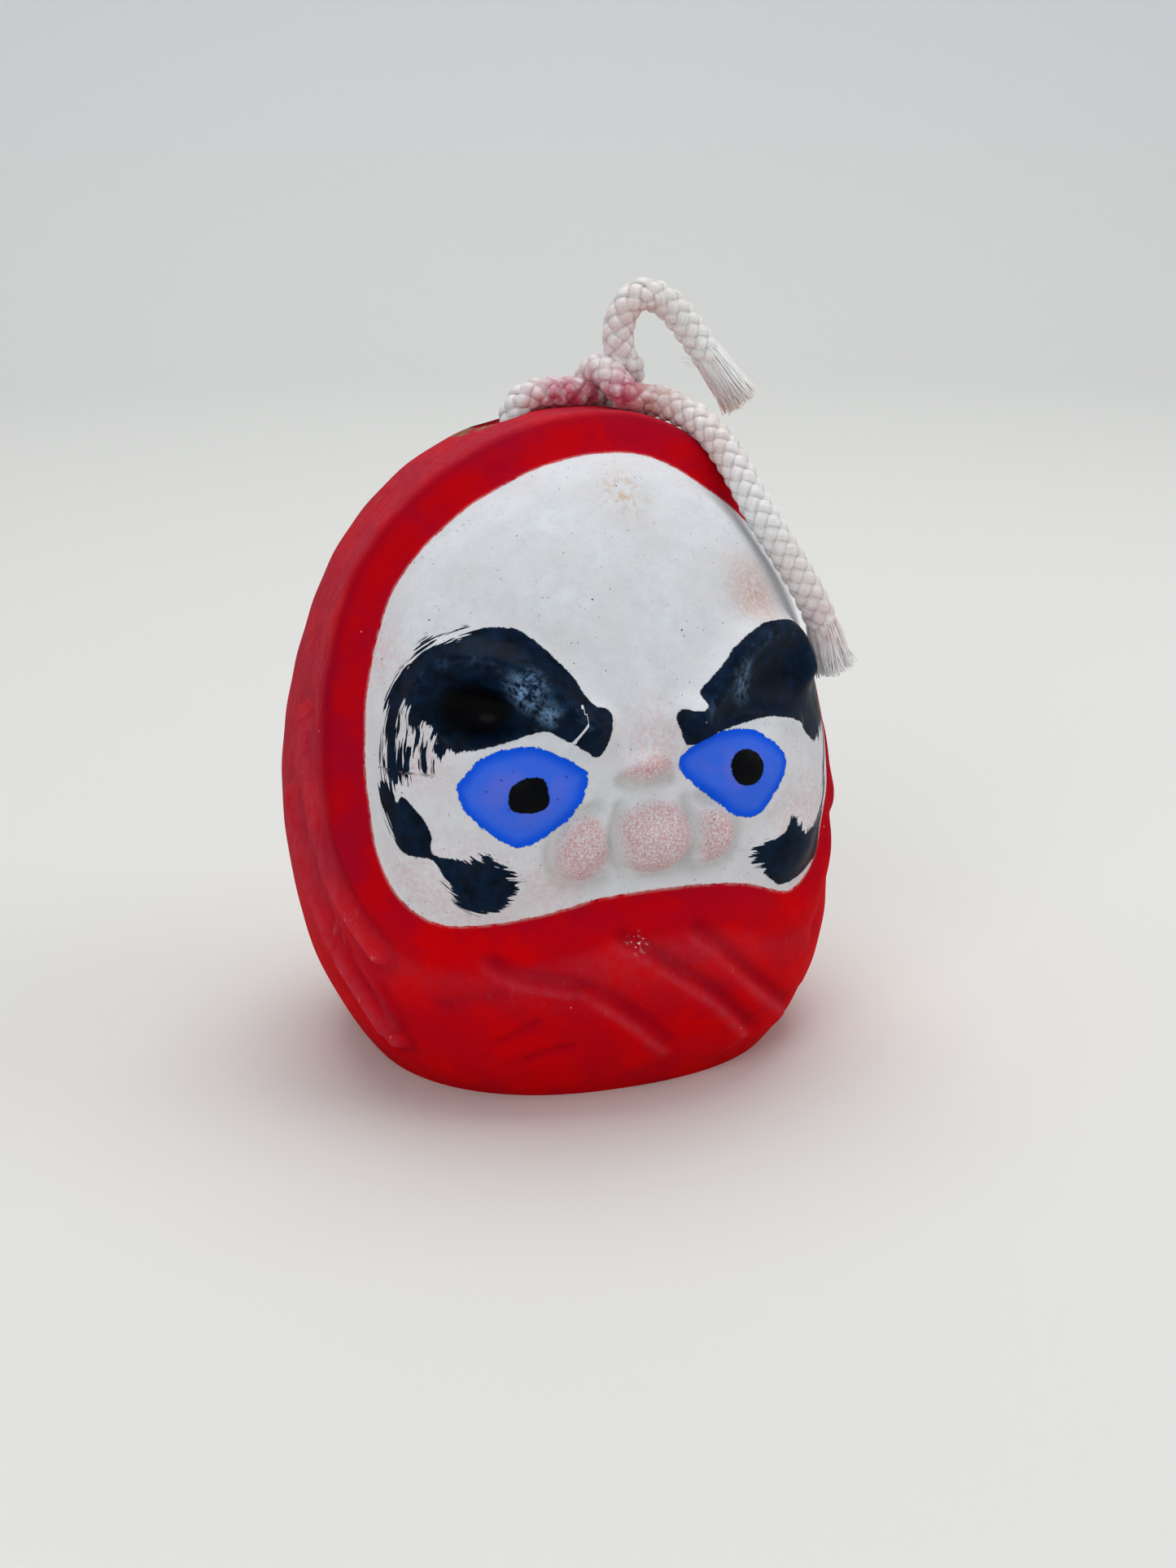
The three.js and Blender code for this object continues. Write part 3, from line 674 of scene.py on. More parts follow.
BROW = ([(5.2, 35.6), (7.6, 38.0), (10.4, 40.2), (13.6, 41.0), (16.5, 39.8), (17.8, 37.0)], 1.6, 1.7)
UPPER_LID = ([(6.2, 34), (11, 34.9), (16.4, 32.7)], 0.4, 0.8)
LOWER_LID = ([(5.4, 29.8), (8.6, 26.2), (12.2, 26.4), (14.6, 29.2)], 0.3, 0.9)
HOOD_RIDGES = [
    ([(83, 34), (77, 30), (71, 25.5), (66, 19.5), (57, 14.5)], 0.95, 0.85),
    ([(87, 26), (81, 20.5), (73, 14.5), (64, 9.0), (60, 5.0)], 0.85, 0.85),
]
RIGHT_RIDGE_SHARE = 0.25  # the photo's right side is nearly smooth
NOSE_LINES = [
    [(-2.4, 28.7), (-3.2, 26.4), (-2.8, 24.0), (-1.4, 22.6), (0.7, 22.1), (2.8, 22.7), (4.0, 24.2),
     (4.3, 26.2), (3.6, 28.6)],
    [(-4.4, 28.9), (-7.0, 28.2), (-8.5, 25.6), (-7.9, 22.9), (-5.9, 21.7), (-3.6, 22.4)],
    [(5.0, 28.7), (7.2, 27.6), (8.3, 25.4), (7.4, 22.6), (5.4, 21.9), (4.0, 22.6)],
    [(-2.2, 31.0), (0.0, 30.3), (2.2, 30.8)],
]
NOSE_LINE = {"depth": 0.58, "breadth": 0.6}
FLANK_NICK = ([(66, 20), (60, 15.5), (52, 12.6)], -0.9, 1.7)

PAIRED_BUMPS = [
    ((10.3, 30.2), (5.8, 4.6), 1.1),
    ((4.0, 35.1), (2.3, 2.9), 1.0),
    ((6.1, 25.2), (2.9, 3.4), 1.6),
    ((14.8, 21.6), (5.0, 4.0), 0.9),
]
MIDDLE_BUMPS = [
    ((0.7, 25.5), (3.9, 3.7), 2.3),
    ((0.1, 31.8), (3.0, 1.7), 1.0),
    ((0.2, 34.5), (2.6, 6.5), 0.6),
]

# The hollow in each brow, which the photo shows deep on the left and nearly flat on the right.
BROW_HOLLOWS = [((-13.2, 37.0), (4.4, 3.3), -1.9), ((13.2, 37.0), (4.4, 3.3), -0.6)]
# Where the brows' black is painted darkest, as shade: each hollow's middle and share, its height, width and
# rise.
BROW_HOLLOW_SHADE = {"places": ((-13.9, 1.0), (13.9, 0.4)), "height": 37.3, "width": 3.3, "rise": 2.5}

HOOD_BAND = {"from": 3.4, "to": 5.6}  # out from the face's outline
FOLD = {"crest": 0.75, "edge": 0.55, "slope": 3.4, "groove": 0.4, "groove_at": 1.1,
        "groove_breadth": 0.7, "wear_and_highlight_breadth": 0.4}
FOLDS = [
    ([(2.6, 17.1), (6.0, 14.3), (9.9, 10.3), (16.7, 3.7)], 1.0),
    ([(-4.5, 17.0), (-1.4, 15.3), (1.8, 12.9), (6.5, 9.1), (11.8, 3.1)], 1.0),
    ([(-14.9, 15.7), (-11.8, 13.4), (-6.2, 11.8), (-2.1, 9.0), (3.5, 3.5)], 0.85),
    ([(-23.1, 14.4), (-21.8, 11.1), (-19.6, 5.8)], 0.5),
]
# Each crease: its line, its depth, its breadth, and how strongly it is painted dark as shade.
CREASES = [
    ([(-12.4, 6.6), (-11.0, 7.7), (-9.3, 9.1)], -0.3, 0.6, 0.5),
    ([(-9.8, 4.7), (-8.1, 5.6), (-6.2, 6.1)], -0.3, 0.6, 0.5),
    ([(-16.9, 10.5), (-12.6, 12.2)], -0.2, 0.9, 0.5),
    ([(-7.4, 21.8), (-6.0, 21.0), (-5.4, 22.2)], -0.25, 0.35, 0),
]
DIMPLE = ((-5.7, 11.7), (1.3, 1.1), -0.8)

# Painted outlines, seen from the front.
EYES = [
    [(-15.7, 30.7), (-15.1, 31.7), (-13.7, 33.3), (-11.5, 34.1), (-9.1, 34.2), (-5.9, 32.5), (-5.2, 31.4),
     (-6.8, 28.4), (-10.3, 26.1), (-12.3, 26.3), (-15.1, 28.8)],
    [(3.2, 32.4), (5.5, 33.8), (8.0, 34.0), (10.6, 33.5), (13.4, 31.2), (13.7, 29.7), (11.7, 27.0),
     (10.3, 26.1), (8.1, 26.6), (6.2, 28.3), (3.6, 30.6)],
]
PUPILS = [
    [(-11.6, 29.2), (-11.6, 30.8), (-10.6, 31.7), (-9.0, 31.7), (-8.6, 30.4), (-8.8, 29.4), (-10.0, 28.9)],
    [(7.6, 30.9), (8.1, 31.9), (9.2, 32.2), (10.3, 31.6), (10.7, 30.4), (10.1, 29.3), (9.0, 29.1),
     (8.0, 29.7)],
]
BROWS = [
    [(-13.1, 43.7), (-10.8, 43.9), (-9.2, 43.4), (-6.1, 40.3), (-4.5, 37.6), (-3.1, 36.9), (-2.9, 35.8),
     (-4.2, 33.2), (-5.4, 33.8), (-7.1, 34.8), (-8.7, 35.5), (-12.4, 34.4), (-17.0, 33.4), (-17.2, 35.2),
     (-17.6, 36.6), (-18.7, 37.4), (-18.6, 39.4), (-16.6, 41.9)],
    [(2.9, 36.0), (3.4, 36.3), (4.6, 36.0), (5.3, 36.4), (5.2, 37.6), (7.5, 39.4), (9.1, 40.7),
     (11.5, 41.7), (14.0, 41.7), (16.7, 40.8), (20.0, 38.4), (22.0, 34.6), (22.2, 30.9), (20.6, 30.5),
     (19.0, 30.3), (18.0, 31.1), (15.9, 33.1), (12.2, 34.3), (7.4, 34.1), (3.9, 33.3), (2.9, 35.0)],
]
BEARD = [
    [(-21.4, 30.9), (-20.4, 31.1), (-20.1, 29.0), (-19.6, 29.6), (-18.3, 27.9), (-17.8, 26.5),
     (-17.7, 24.9), (-14.8, 24.8), (-14.0, 25.7), (-12.1, 24.5), (-10.9, 22.7), (-12.0, 20.5),
     (-13.9, 19.8), (-15.8, 20.0), (-16.8, 22.2), (-17.7, 24.3), (-19.9, 24.7), (-21.0, 26.4),
     (-21.5, 28.9)],
    [(10.3, 23.0), (11.6, 23.6), (13.6, 23.9), (15.2, 25.0), (16.2, 23.3), (18.8, 23.5), (20.6, 24.2),
     (21.4, 22.4), (20.0, 19.7), (18.2, 19.1), (14.8, 18.7), (13.2, 19.1), (10.9, 21.2)],
]
NOSE = [
    [(-2.3, 27.9), (-2.6, 25.6), (-1.6, 23.3), (0.8, 22.6), (3.2, 23.6), (3.9, 25.8), (3.1, 28.1),
     (0.6, 29.0)],
    [(-7.5, 27.2), (-8.1, 24.9), (-7.0, 22.7), (-5.0, 22.7), (-3.8, 24.3), (-3.9, 26.6), (-5.2, 28.4)],
    [(4.9, 27.6), (6.6, 27.4), (7.9, 25.6), (7.3, 23.6), (5.6, 22.7), (4.7, 23.6), (4.7, 25.6)],
    [(-2.3, 31.5), (-0.9, 30.9), (1.2, 31.0), (2.4, 32.0), (1.0, 33.0), (-0.8, 32.5)],
]
DRY_BANDS = [
    ([(-13.6, 43.9), (-16.7, 42.2), (-18.8, 39.9), (-20.2, 36.8), (-21.0, 34.1), (-21.2, 30.8)], 0.75),
    ([(-18.2, 39.4), (-19.4, 37.0), (-20.0, 34.7), (-20.1, 31.6)], 1.9),
    ([(-17.6, 37.0), (-18.1, 35.0), (-17.8, 32.2)], 1.2),
    ([(-19.0, 33.6), (-19.3, 31.8)], 1.3),
    ([(21.3, 31.0), (20.9, 27.5), (19.8, 23.4)], 1.2),
]
# Where the brush ran dry, and where the white is faintly pink: place and reach.
DRY_ENDS = [((-17.6, 33.8), 2.2), ((-18.6, 37.8), 1.6), ((-20.9, 30.9), 1.0), ((-20.9, 27.0), 1.2),
            ((-11.2, 23.6), 2.0), ((-15.6, 20.6), 2.2), ((-14.2, 25.4), 1.3), ((-13.6, 23.9), 1.8),
            ((21.0, 30.8), 1.8), ((19.6, 23.8), 1.8), ((10.9, 22.0), 1.7), ((16.0, 24.0), 1.0),
            ((-14.5, 43.4), 1.4), ((-11.6, 21.2), 1.4), ((-16.3, 22.6), 1.2)]
BLUSH = [((-18.9, 22.7), 3.4), ((-15.5, 22.0), 5.0), ((16.5, 24.5), 5.0), ((0.8, 34), 3.4),
         ((-18.4, 32.8), 2.8), ((-20.6, 40.8), 2.6), ((-8.6, 22.2), 3.0), ((17.5, 18.6), 2.4)]
CRACK = {"line": [(-5.4, 37.5), (-5.2, 36.0), (-6.2, 34.6)], "half_width": 0.12}
# The brush went in arcs round the middle of each eye.
STROKE_CENTRES = {"left": -10.8, "right": 11.0, "height": 31.6}
STROKE_STRETCH = 1.15
STROKE_LENGTH = 11  # of an arc's middle line, for each radian
STROKE_APART = 80  # keeps the two sides' streaks different
REACH = 4.0


def rim_relief(points, signed):
    """The hood's rolled edge round the face, and the face sunk inside it."""
    distance = np.abs(signed)
    hood = smoothstep(points[:, 2], COLLAR["lowest"], COLLAR["highest"])
    shallow = 1 - 0.8 * smoothstep(points[:, 0], 10, 19) * smoothstep(points[:, 2], 20, 26)
    crest_at, crest, depth = (COLLAR[key] + (RIM[key] - COLLAR[key]) * hood
                              for key in ("crest_at", "crest", "depth"))
    crest, depth = crest * shallow, depth * shallow
    inside = -depth * smoothstep(RIM["fade_in"] - distance, 0, RIM["fade_in"])
    rising = smoothstep(distance, 0, crest_at) * (crest + depth) - depth
    fading = crest * (1 - smoothstep(distance, crest_at, RIM["fade_out"]))
    return np.where(signed > 0, inside, np.where(distance < crest_at, rising, fading))


def bump_relief(points, bumps):
    total = np.zeros(len(points))
    for (x, z), (width, height), rise in bumps:
        far = ((points[:, 0] - x) / width) ** 2 + ((points[:, 2] - z) / height) ** 2
        total += rise * np.maximum(1 - far, 0) ** 1.5 * (points[:, 1] < 0)
    return total


def both_sides(bumps):
    return [*bumps, *[((-x, z), size, rise) for (x, z), size, rise in bumps]]


class Surface:
    """Points of the smooth body, with the relief's height, its pale crests (real rubbing of the paint and
    painted highlight) and its grooves darkened as painted shade.
    """

    def __init__(self, points, normals):
        self.points, self.normals = points, normals
        self.signed = Line(FACE, closed=True).signed(points, normals, 12)
        self.height = rim_relief(points, self.signed)
        self.height += bump_relief(points, [*MIDDLE_BUMPS, *both_sides(PAIRED_BUMPS), *BROW_HOLLOWS, DIMPLE])
        self.wear_and_highlight, self.groove = np.zeros((2, len(points)))
        self.add_brow_lines()
        self.add_hood_ridges()
        self.add_sunk_lines()
        self.add_folds()
        self.add_unevenness()
        self.hood_wear_and_light()

    def near(self, outline, reach, place=front_points):
        return Line(outline, place).nearest(self.points, self.normals, reach)

    def bell(self, outline, breadth, place=front_points):
        return bell(self.near(outline, 3 * breadth, place)[0], breadth)

    # Adds relief height, and raises two colour fields: pale crests from paint rubbing and painted highlight,
    # and painted shade in grooves.
    def mark(self, height=0, wear_and_highlight=0, groove=0):
        self.height = self.height + height
        self.wear_and_highlight = np.maximum(self.wear_and_highlight, wear_and_highlight)
        self.groove = np.maximum(self.groove, groove)

    def add_brow_lines(self):
        for outline, rise, breadth in (BROW, UPPER_LID, LOWER_LID):
            for shape in (outline, mirrored(outline)):
                self.mark(rise * self.bell(shape, breadth))

    def add_hood_ridges(self):
        for outline, rise, breadth in HOOD_RIDGES:
            for shape, share in ((outline, RIGHT_RIDGE_SHARE), (mirrored(outline), 1)):
                apart = self.near(shape, 4 * breadth, side_points)[0]
                beside = apart - 2 * breadth
                ridge = share * bell(apart, breadth)
                # The ridge's crest is painted pale, from paint rubbing and as painted highlight, and the
                # furrow beside it is painted dark as shade.
                self.mark(rise * (ridge - 0.3 * share * bell(beside, breadth)), wear_and_highlight=ridge,
                          groove=0.7 * share * bell(beside, 0.8 * breadth))
        outline, rise, breadth = FLANK_NICK
        self.mark(rise * self.bell(outline, breadth, side_points))

    def add_sunk_lines(self):
        # The lines round the nose and the creases are sunk, and painted dark as shade.
        for outline in NOSE_LINES:
            line = bell(self.near(outline, 2)[0], NOSE_LINE["breadth"])
            self.mark(-NOSE_LINE["depth"] * line, groove=line)
        for outline, rise, breadth, dark in CREASES:
            crease = self.bell(outline, breadth)
            self.mark(rise * crease, groove=dark * crease)

    def add_folds(self):
        """Folds of the robe: each rises slowly from one side and drops sharply to a groove."""
        for outline, strength in FOLDS:
            distance, side, along = self.near(outline, 7.0)
            ends = strength * smoothstep(along, 0, 0.14) * (1 - smoothstep(along, 0.93, 1.0))
            crest = bell(distance, np.where(side > 0, FOLD["edge"], FOLD["slope"]))
            dark = (side > 0) * bell(distance - FOLD["groove_at"], FOLD["groove_breadth"])
            sunk = dark * smoothstep(distance, 0, 0.8)
            # The fold's crest is painted pale, from paint rubbing and as painted highlight, and the groove
            # beside it is painted dark as shade.
            self.mark(ends * (FOLD["crest"] * crest - FOLD["groove"] * sunk),
                      wear_and_highlight=0.75 * ends * bell(distance, FOLD["wear_and_highlight_breadth"]), groove=0.8 * ends * dark)

    def add_unevenness(self):
        x, _, z = self.points.T
        self.mark(0.05 * np.sin(0.42 * x + 0.9) * np.sin(0.37 * z) + 0.03 * np.sin(1.1 * z + 0.6 * x))

    def hood_wear_and_light(self):
        """The hood's outer band is painted pale all over, from paint rubbing and as a painted sheen that is
        weaker towards the back, and the line inside it is painted dark as shade.
        """
        _, y, z = self.points.T
        band = smoothstep(-self.signed, HOOD_BAND["from"], HOOD_BAND["to"]) * smoothstep(z, 8, 22)
        inner_line = bell(-self.signed - HOOD_BAND["from"], 0.7) * smoothstep(z, 22, 34)
        self.mark(wear_and_highlight=(0.72 - 0.3 * smoothstep(y, 0, 12)) * band, groove=0.85 * inner_line)

    def union(self, outlines):
        """Distance to the nearest of some outlines, positive inside one."""
        distances = [Line(o, closed=True).signed(self.points, self.normals, REACH) for o in outlines]
        return np.max(distances, axis=0)

    def spots(self, places):
        """1 at each place on the front, fading over its reach."""
        total = np.zeros(len(self.points))
        for (x, z), reach in places:
            far = np.hypot(self.points[:, 0] - x, self.points[:, 2] - z)
            total = np.maximum(total, bell(far, reach) * (self.points[:, 1] < 0))
        return total

    def dry_bands(self):
        distances = [half_breadth - self.near(outline, REACH)[0] for outline, half_breadth in DRY_BANDS]
        return np.where(self.points[:, 1] < 0, np.max(distances, axis=0), -REACH)

    def brow_light_and_shade(self):
        """1 on the crest of a brow, where a highlight is painted, and -1 in the hollows under the brows,
        where shade is painted.
        """
        crest = np.zeros(len(self.points))
        for shape in (BROW[0], mirrored(BROW[0])):
            crest = np.maximum(crest, bell(self.near(shape, 4)[0], 1.2))
        for x, share in BROW_HOLLOW_SHADE["places"]:
            far = np.hypot((self.points[:, 0] - x) / BROW_HOLLOW_SHADE["width"],
                           (self.points[:, 2] - BROW_HOLLOW_SHADE["height"]) / BROW_HOLLOW_SHADE["rise"])
            crest -= share * bell(far, 1.0) * (self.points[:, 1] < 0)
        return crest

    def strokes(self):
        """Across and along the brush's arcs round each eye, and where the brows' painted highlights and
        painted shade go.
        """
        x, _, z = self.points.T
        centre = np.where(x < 0, STROKE_CENTRES["left"], STROKE_CENTRES["right"])
        right, up = (x - centre) * STROKE_STRETCH, z - STROKE_CENTRES["height"]
        along = np.arctan2(up, right) * STROKE_LENGTH + np.where(x < 0, 0, STROKE_APART)
        return np.column_stack([np.hypot(right, up), along, self.brow_light_and_shade()])

    def paint(self):
        """The fields that the paint's material reads, three to each attribute."""
        cracked = self.near(CRACK["line"], 1.5)[0] < CRACK["half_width"]
        brows = np.where(cracked, -0.2, self.union(BROWS))
        none = np.zeros(len(self.points))
        fields = {
            "paint_a": [np.clip(self.signed, -REACH, REACH), self.union(EYES), brows],
            "paint_b": [self.union(PUPILS), self.union(NOSE), self.union(BEARD)],
            "paint_c": [self.dry_bands(), self.spots(DRY_ENDS), self.spots(BLUSH)],
            # Pale crests (paint rubbing and painted highlight), painted shade in grooves, and room for the
            # bare clay.
            "wear_and_painted_light": [self.wear_and_highlight, self.groove, none],
        }
        columns = {name: np.column_stack(values) for name, values in fields.items()}
        return {**columns, "stroke": self.strokes()}


# Colours as they are seen, 0 to 255.
ROBE = ((208, 0, 8), (190, 2, 20))
HOOD = ((188, 2, 14), (168, 4, 32))
# In the red, the groove colour is painted shade, and the pink after it is both real paint rubbing and
# painted highlight.
RED = {"groove": (138, 2, 30), "rubbed_and_lit": (190, 72, 88), "scuff": (222, 150, 150),
       "speck": (226, 150, 148), "chip": (240, 226, 220), "edge": (226, 196, 192)}
# In the white, the groove colour is painted shade.
WHITE = {"ground": (213, 216, 220), "chalk": (224, 228, 232), "cloud": (214, 208, 210),
         "grain": (186, 178, 178), "groove": (186, 182, 176), "blush": (214, 146, 142),
         "stain": (198, 166, 132), "smudge": (198, 162, 150), "nose": (190, 104, 102),
         "speck": (104, 96, 104), "dust": (150, 140, 142), "thread": (176, 164, 164)}
BLUE = {"rim": (14, 86, 230), "wash": (60, 106, 230), "thin": (92, 110, 220), "speck": (52, 56, 150)}
# In the black, the hollow colour is painted shade, and the lit colour and the pale blue after it are painted
# highlights.
BLACK = {"ink": (3, 12, 24), "bloom": (10, 32, 56), "hollow": (1, 2, 4), "lit": (50, 78, 112),
         "painted_highlight": (128, 166, 206), "speck": (130, 146, 158), "pupil": (6, 7, 9)}
CLAY = {"dark": (112, 78, 58), "light": (150, 108, 82), "speck": (78, 54, 42)}

# Marks on the paint: where and how far.
CHIPS = ((-1.0, -23.8, 16.3), 1.5)
STAIN = ((1.6, -13.6, 53.6), 4.6)
SMUDGE = ((12.9, -16.1, 44.5), 5.6)
# Painted highlights on the brows' black: where and how far, and how strong the right one is.
PAINTED_HIGHLIGHTS = [((-10.0, -21.2, 38.9), 2.6), ((-7.9, -21.6, 37.2), 1.8), ((10.2, -21.2, 37.9), 2.6)]
RIGHT_HIGHLIGHT_SHARE = 0.6
HOLE_RIM = ((-6.2, 3.0, 58.0), 5.4)


class Paint(Graph):
    """The painted clay's graph, with the fields and textures that its colours share."""

    def __init__(self):
        super().__init__("painted_clay")
        _, self.depth, self.height = self.parts(self.position)
        _, self.face, self.eyes, self.brows = self.attribute("paint_a")
        _, self.pupils, self.nose, self.beard = self.attribute("paint_b")
        _, self.dry_band, self.dry, self.blush = self.attribute("paint_c")
        _, self.wear_and_highlight, self.groove, self.bare = self.attribute("wear_and_painted_light")
        self.stroke, _, _, self.brow_lighting = self.attribute("stroke")
        self.grain = self.noise(3.2, 4.0, 0.65)
        self.fine = self.noise(9.0, 2.0, 0.6)
        self.soft = self.noise(0.2, 4.0, 0.6)
        self.mottle = self.noise(0.8, 4.0, 0.6)
        self.upright = self.stretched((1.6, 1.6, 0.16), 4.0, 0.65)
        self.streaks = self.stretched((2.4, 0.2, 0.0), 3.0, 0.6, self.stroke)

    def patchy(self, mark, scale, rough, low, high):
        """A mark at a place, broken up by noise."""
        return self.times(self.near(*mark), self.ramp(self.noise(scale, 4.0, rough), low, high))

    def edge(self, field):
        """1 where a field is positive, with a thin soft edge."""
        return self.ramp(field, -0.05, 0.05)


def red_paint(g):
    """Deep red, painted darker in grooves as shade, and chalky pink on crests and the hood's band, from real
    rubbing of the paint and as painted highlight.
    """
    clouds = g.ramp(g.soft, 0.38, 0.62)
    on_hood = g.ramp(g.height, 16, 22)
    colour = g.mix(on_hood, g.mix(clouds, *ROBE), g.mix(clouds, *HOOD))
    # Painted shade: darker red in grooves and creases.
    colour = g.tint(colour, g.groove, 0.7, RED["groove"])
    # Pale pink on the crests and the hood's band: real rubbing of the paint, and painted highlight.
    on_robe = g.minus(1.0, on_hood)
    rubbing = g.plus(g.times(g.upright, on_hood), g.times(g.mottle, on_robe))
    rubbed_and_lit = g.times(g.wear_and_highlight, g.ramp(rubbing, 0.25, 0.72, 0.35, 1.0))
    colour = g.tint(colour, rubbed_and_lit, 0.62, RED["rubbed_and_lit"])
    # Pale scuffs, only where the crests and the band are painted pale, so partly painted highlight too.
    scuffs = g.ramp(g.stretched((1.2, 1.2, 0.3), 5.0, 0.75), 0.6, 0.75)
    colour = g.tint(colour, g.times(scuffs, g.wear_and_highlight), 0.6, RED["scuff"])
    colour = g.mix(g.specks(1.9, 0.05, 0.35), colour, RED["speck"])
    chips = g.times(g.near(*CHIPS), g.ramp(g.noise(2.4, 3.0, 0.7), 0.58, 0.62))
    return g.mix(chips, colour, RED["chip"])


def white_paint(g):
    """A chalk ground, mottled, specked and rubbed pink on the nose."""
    colour = g.mix(g.ramp(g.mottle, 0.25, 0.75), WHITE["ground"], WHITE["chalk"])
    colour = g.tint(colour, g.ramp(g.soft, 0.4, 0.65), 0.35, WHITE["cloud"])
    colour = g.tint(colour, g.ramp(g.fine, 0.5, 0.85), 0.35, WHITE["grain"])
    # Painted shade: greyer white in the grooves round the nose and in creases.
    colour = g.tint(colour, g.groove, 0.5, WHITE["groove"])
    blush = g.times(g.blush, g.ramp(g.noise(2.6, 4.0, 0.75), 0.34, 0.66))
    colour = g.tint(colour, blush, 0.42, WHITE["blush"])
    colour = g.tint(colour, g.patchy(STAIN, 1.6, 0.75, 0.42, 0.66), 0.7, WHITE["stain"])
    colour = g.tint(colour, g.patchy(SMUDGE, 2.2, 0.75, 0.25, 0.6), 0.85, WHITE["smudge"])
    nose = g.ramp(g.plus(g.nose, g.centred(g.grain, 0.9)), -0.5, 0.7)
    nose = g.times(nose, g.ramp(g.noise(5.0, 4.0, 0.8), 0.36, 0.6))
    colour = g.tint(colour, nose, 0.7, WHITE["nose"])
    colour = g.mix(g.specks(1.1, 0.05, 0.3), colour, WHITE["speck"])
    colour = g.mix(g.specks(0.5, 0.04, 0.4), colour, WHITE["dust"])
    threads = g.noise(1.6, 5.0, 0.8, g.scale(g.position, (1.0, 1.0, 0.6)))
    return g.tint(colour, g.ramp(threads, 0.6, 0.68), 0.4, WHITE["thread"])


def blue_paint(g):
    """A dark wet rim, and thinner paint towards the middle."""
    colour = g.mix(g.ramp(g.eyes, 0.15, 1.2), BLUE["rim"], BLUE["wash"])
    thin = g.times(g.ramp(g.eyes, 0.9, 2.6), g.ramp(g.noise(0.35), 0.4, 0.62))
    colour = g.tint(colour, thin, 0.8, BLUE["thin"])
    return g.mix(g.specks(0.55, 0.05, 0.35), colour, BLUE["speck"])


def black_paint(g):
    """Satin, with a random blue bloom, painted darkest as shade in the brows' hollows, and with painted
    highlights on their crests and at a few spots.
    """
    colour = g.mix(g.ramp(g.mottle, 0.3, 0.75), BLACK["ink"], BLACK["bloom"])
    # Painted shade: the black goes darkest in the brows' hollows.
    colour = g.mix(g.ramp(g.brow_lighting, -0.7, -0.15, 1.0, 0.0), colour, BLACK["hollow"])
    # Painted highlight: bluish on the brows' crests.
    lit = g.times(g.ramp(g.brow_lighting, 0.45, 1.0), g.ramp(g.noise(0.7, 5.0, 0.7), 0.46, 0.7))
    colour = g.tint(colour, lit, 0.6, BLACK["lit"])
    # Painted highlight spots on the brows, bluish white.
    left, low, right = (g.near(*place) for place in PAINTED_HIGHLIGHTS)
    painted_highlight = g.most(g.most(left, low), g.times(right, RIGHT_HIGHLIGHT_SHARE))
    painted_highlight = g.times(painted_highlight, g.ramp(g.noise(1.3, 4.0, 0.7), 0.4, 0.62))
    colour = g.mix(painted_highlight, colour, BLACK["painted_highlight"])
    return g.mix(g.specks(1.6, 0.055, 0.25), colour, BLACK["speck"])


def black_mask(g):
    """The brows, the beard and the dry bands, ragged where the brush ran dry."""
    bristles = g.stretched((7.0, 0.35, 0.0), 2.0, 0.5, g.stroke)
    streak = g.plus(g.times(g.streaks, 0.6), g.times(bristles, 0.4))
    wander = g.plus(g.centred(g.grain, 0.14), g.centred(g.noise(1.2, 3.0, 0.6), 0.16))
    ragged = g.plus(g.times(g.minus(streak, 0.56), g.times(g.dry, 7.0)), wander)
    strokes = g.edge(g.plus(g.most(g.brows, g.beard), ragged))
    band = g.ramp(g.plus(g.times(g.dry_band, 0.24), g.times(streak, 1.6)), 0.985, 1.015)
    band = g.times(band, g.math("GREATER_THAN", g.dry_band, 0.0))
    return g.times(g.most(strokes, band), g.ramp(g.face, -0.3, 0.1))


def bare_clay(g):
    colour = g.mix(g.ramp(g.mottle, 0.3, 0.7), CLAY["dark"], CLAY["light"])
    return g.mix(g.specks(0.9, 0.09, 0.4), colour, CLAY["speck"])


def bare_mask(g):
    """Inside, in the cut edges, and chipped round the left cord hole."""
    rim = g.ramp(g.plus(g.near(*HOLE_RIM), g.centred(g.grain, 0.12)), 0.42, 0.5)
    rim = g.times(rim, g.ramp(g.depth, 0.1, 0.4))
    rim = g.times(rim, g.ramp(g.noise(0.9, 3.0, 0.6), 0.44, 0.5))
    return g.most(g.ramp(g.plus(g.bare, g.centred(g.grain, 0.1)), 0.2, 0.3), rim)


def face_colour(g):
    """White inside the face's outline and red outside it, with a pale line between."""
    inside = g.edge(g.plus(g.face, g.centred(g.grain, 0.1), g.centred(g.noise(1.1), 0.12)))
    colour = g.mix(inside, red_paint(g), white_paint(g))
    pale = g.ramp(g.math("ABSOLUTE", g.face), 0.0, 0.35, 1.0, 0.0)
    return g.tint(colour, g.times(pale, g.ramp(g.mottle, 0.3, 0.6)), 0.35, RED["edge"])


